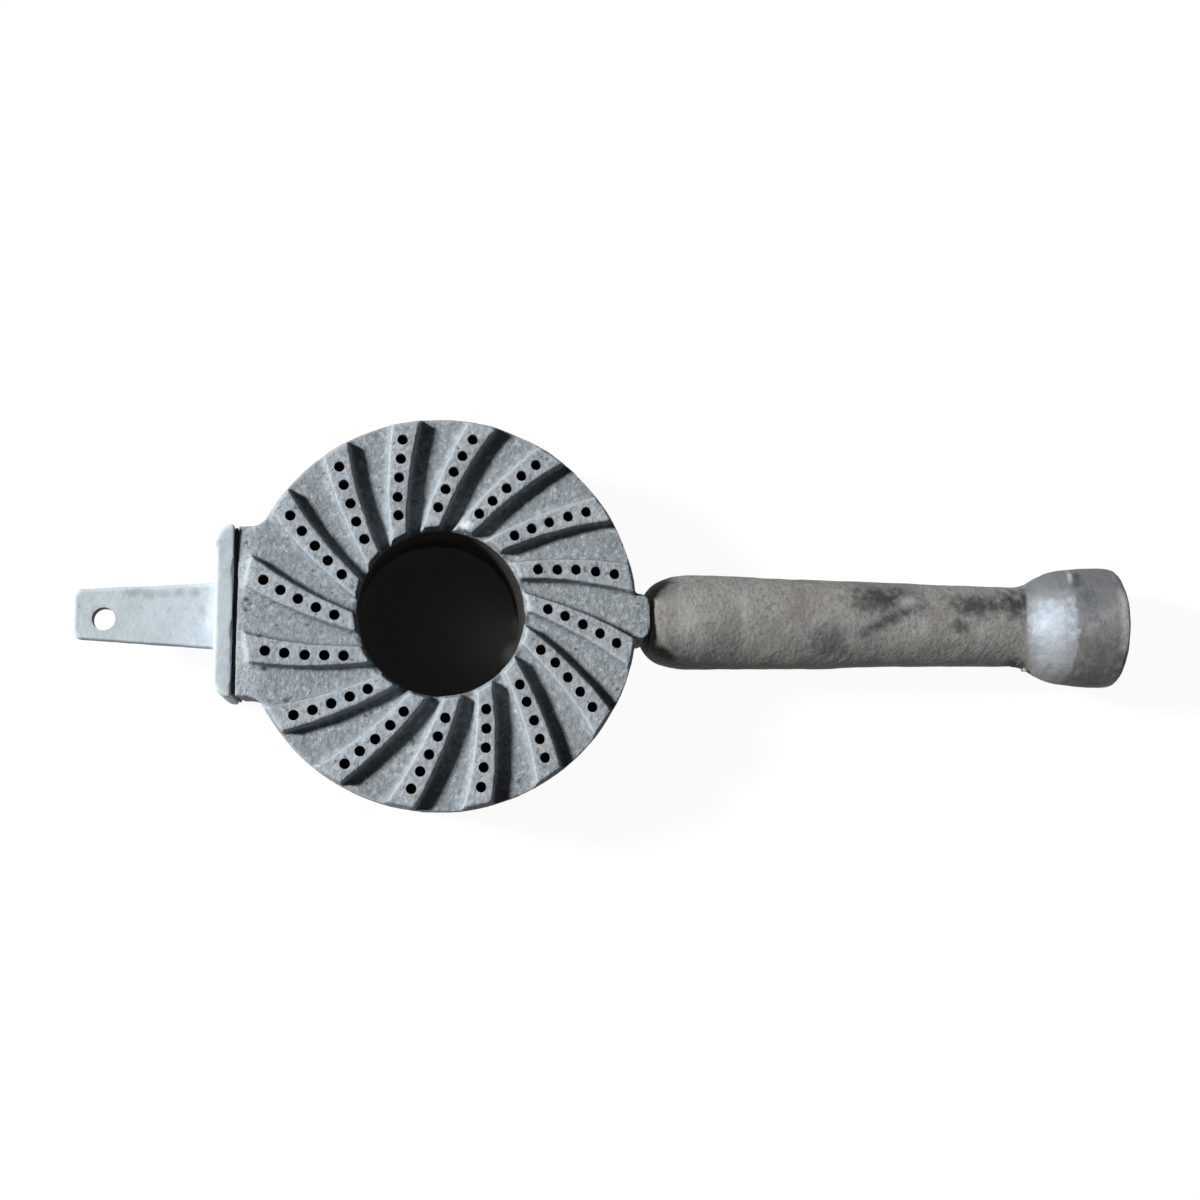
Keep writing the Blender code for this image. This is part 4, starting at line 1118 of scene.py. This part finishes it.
def flange_iron():
    """Grey iron from a smoother mould: pale and even, with faint darker blotches."""
    mat, tree, shader, place = new_material("flange_smooth_iron", 0.65, 0.0, 0.15)
    colour = layered(tree, place, linear("#bcc6cd"), [
        (18, 3, 0.45, 0.65, "#b2bbc2", 0.6),
        (2.6, 4, 0.52, 0.68, "#c8d1d8", 0.5),
        (3.4, 2, 0.62, 0.72, "#98a0a6", 0.4),
    ])
    colour = worn_edges_shaded_hollows(tree, colour, "#d3dce3", "#8b9297")
    colour = marked(tree, place, colour, [
        ((-116.7, 8.3, 29), 3.2, 1.8, 10, "#8f989e", 0.6),
        ((-110.8, 7.6, 29), 2.6, 1.9, -10, "#8f989e", 0.65),
        ((-104.9, 8, 29), 2.8, 1.7, 0, "#8f989e", 0.55),
        ((-99.4, 8.4, 29), 2.4, 1.7, 15, "#8f989e", 0.6),
        ((-93.7, 8.6, 29), 2.2, 2, 0, "#8f989e", 0.65),
        ((-89.8, 1.9, 29), 2, 2.2, 0, "#8f989e", 0.55),
        ((-84.5, 25, 46), 2.4, 2.2, 0, "#8f989e", 0.6),
        # The pale strip at the lug's root is a painted highlight.
        ((-86.8, 0, 29), 2.6, 11, 0, "#d3dce3", 0.8),
    ])
    # The lug hole's wall is darkened with painted shade.
    colour = shaded_hole_wall(tree, place, colour, LUG_HOLE, LUG_HOLE_R, TUBE_Z + LUG_T / 2, "#3a2c20")
    dress(tree, place, shader, colour, [(1.8, 0.15), (0.6, 0.06)])
    return mat


def screw_steel(name, metal, base, stain, bright):
    """Steel of screws and washers: turned bright and dulled by handling, or under a dark skin of scale."""
    mat, tree, shader, place = new_material(name, 0.45, metal, 0.5)
    colour = layered(tree, place, linear(base), [
        (4, 3, 0.45, 0.65, stain, 0.7),
        (0.8, 2, 0.50, 0.66, bright, 0.4),
    ])
    dress(tree, place, shader, colour, [(0.5, 0.03)])
    return mat


def graphite_seal():
    """Pressed graphite: a soft, nearly black sheet with a faint grey bloom."""
    mat, tree, shader, place = new_material("seal_graphite", 0.8, 0.0, 0.3)
    colour = layered(tree, place, linear("#2a2b2c"), [
        (3, 3, 0.45, 0.65, "#3b3c3e", 0.6),
        (0.7, 2, 0.55, 0.70, "#505254", 0.4),
    ])
    dress(tree, place, shader, colour, [(0.6, 0.05)])
    return mat


def make_camera():
    data = bpy.data.cameras.new("camera")
    data.lens = CAMERA_LENS
    data.sensor_width = 36
    data.clip_start = 0.01
    camera = new_object("camera", data)
    turn = Matrix.Identity(4)
    for angle, axis in zip(CAMERA_TURNS, "XYZ"):
        turn = turn @ Matrix.Rotation(angle, 4, axis)
    camera.matrix_world = Matrix.Translation(CAMERA_AT + Vector((RING_X, 0, 0))) @ turn
    bpy.context.scene.camera = camera


def background_rays(tree):
    """One for the rays that show the background: straight to the camera, or by way of gloss or glass."""
    rays = add(tree, "ShaderNodeLightPath").outputs
    seen = rays["Is Camera Ray"]
    for label in ("Is Glossy Ray", "Is Transmission Ray"):
        seen = add(tree, "ShaderNodeMath", {0: seen, 1: rays[label]}, operation="MAXIMUM")
    return seen


def make_lights():
    data = bpy.data.lights.new("key", "SUN")
    data.energy = KEY_STRENGTH
    data.angle = KEY_SOFTNESS
    key = new_object("key", data)
    flat = math.cos(KEY_ELEVATION)
    beam = Vector((flat * math.cos(KEY_HEADING), flat * math.sin(KEY_HEADING), -math.sin(KEY_ELEVATION)))
    key.rotation_euler = beam.to_track_quat("-Z", "Y").to_euler()
    world = bpy.data.worlds.new("studio")
    bpy.context.scene.world = world
    world.use_nodes = True
    tree = world.node_tree
    sky = tree.nodes["Background"]
    sky.inputs["Color"].default_value = (1, 1, 1, 1)
    strength = add(tree, "ShaderNodeMapRange", {"Value": background_rays(tree), "To Min": SKY_STRENGTH})
    tree.links.new(strength.outputs[0], sky.inputs["Strength"])


def make_floor():
    """A pale floor, left plain inside the ring and lifted nearly to white outside, under a faint shadow."""
    bm = bmesh.new()
    bmesh.ops.create_grid(bm, x_segments=1, y_segments=1, size=FLOOR_HALF)
    bm.transform(Matrix.Translation((0, 0, -FLOOR_DROP)))
    floor = mesh_object("floor", bm)
    mat = bpy.data.materials.new("white_floor")
    mat.use_nodes = True
    tree = mat.node_tree
    tree.nodes.clear()
    place = add(tree, "ShaderNodeTexCoord").outputs["Object"]
    middle = (RING_X, 0, 0)
    away = add(tree, "ShaderNodeVectorMath", {0: place, 1: middle}, operation="DISTANCE").outputs["Value"]
    outside = add(tree, "ShaderNodeMapRange", {
        "Value": away, "From Min": HOLE_R + 2 * MM, "From Max": HOLE_R + 4 * MM, "To Max": FLOOR_LIFT})
    share = add(tree, "ShaderNodeMath", {0: background_rays(tree), 1: outside}, operation="MULTIPLY")
    matt = add(tree, "ShaderNodeBsdfDiffuse", {"Color": (FLOOR_TONE, FLOOR_TONE, FLOOR_TONE, 1)})
    white = add(tree, "ShaderNodeEmission", {"Strength": FLOOR_WHITE})
    mixed = add(tree, "ShaderNodeMixShader", {0: share, 1: matt, 2: white})
    add(tree, "ShaderNodeOutputMaterial", {"Surface": mixed}, is_active_output=True)
    floor.data.materials.append(mat)


bpy.context.scene.view_settings.view_transform = "Standard"
make_camera()
make_lights()
make_floor()

IRON = pan_iron()
STEEL = screw_steel("screw_plain_steel", 1.0, "#a7a8a9", "#8b8c8c", "#bcbdbe")
SCALED = screw_steel("set_screw_scaled_steel", 0.0, "#5c5a57", "#3f3d3b", "#7b7976")
SEAL = graphite_seal()
make_crown(crown_iron())
make_pan(IRON)
make_tube(IRON)
make_bell(bell_iron())
make_flange(flange_iron())
make_tail_screws(STEEL)
for name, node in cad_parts.items():
    if not node.hide_render:
        node.data.materials.clear()
        steel = SCALED if "set_screw" in name else STEEL
        node.data.materials.append(SEAL if "gasket" in name else steel)
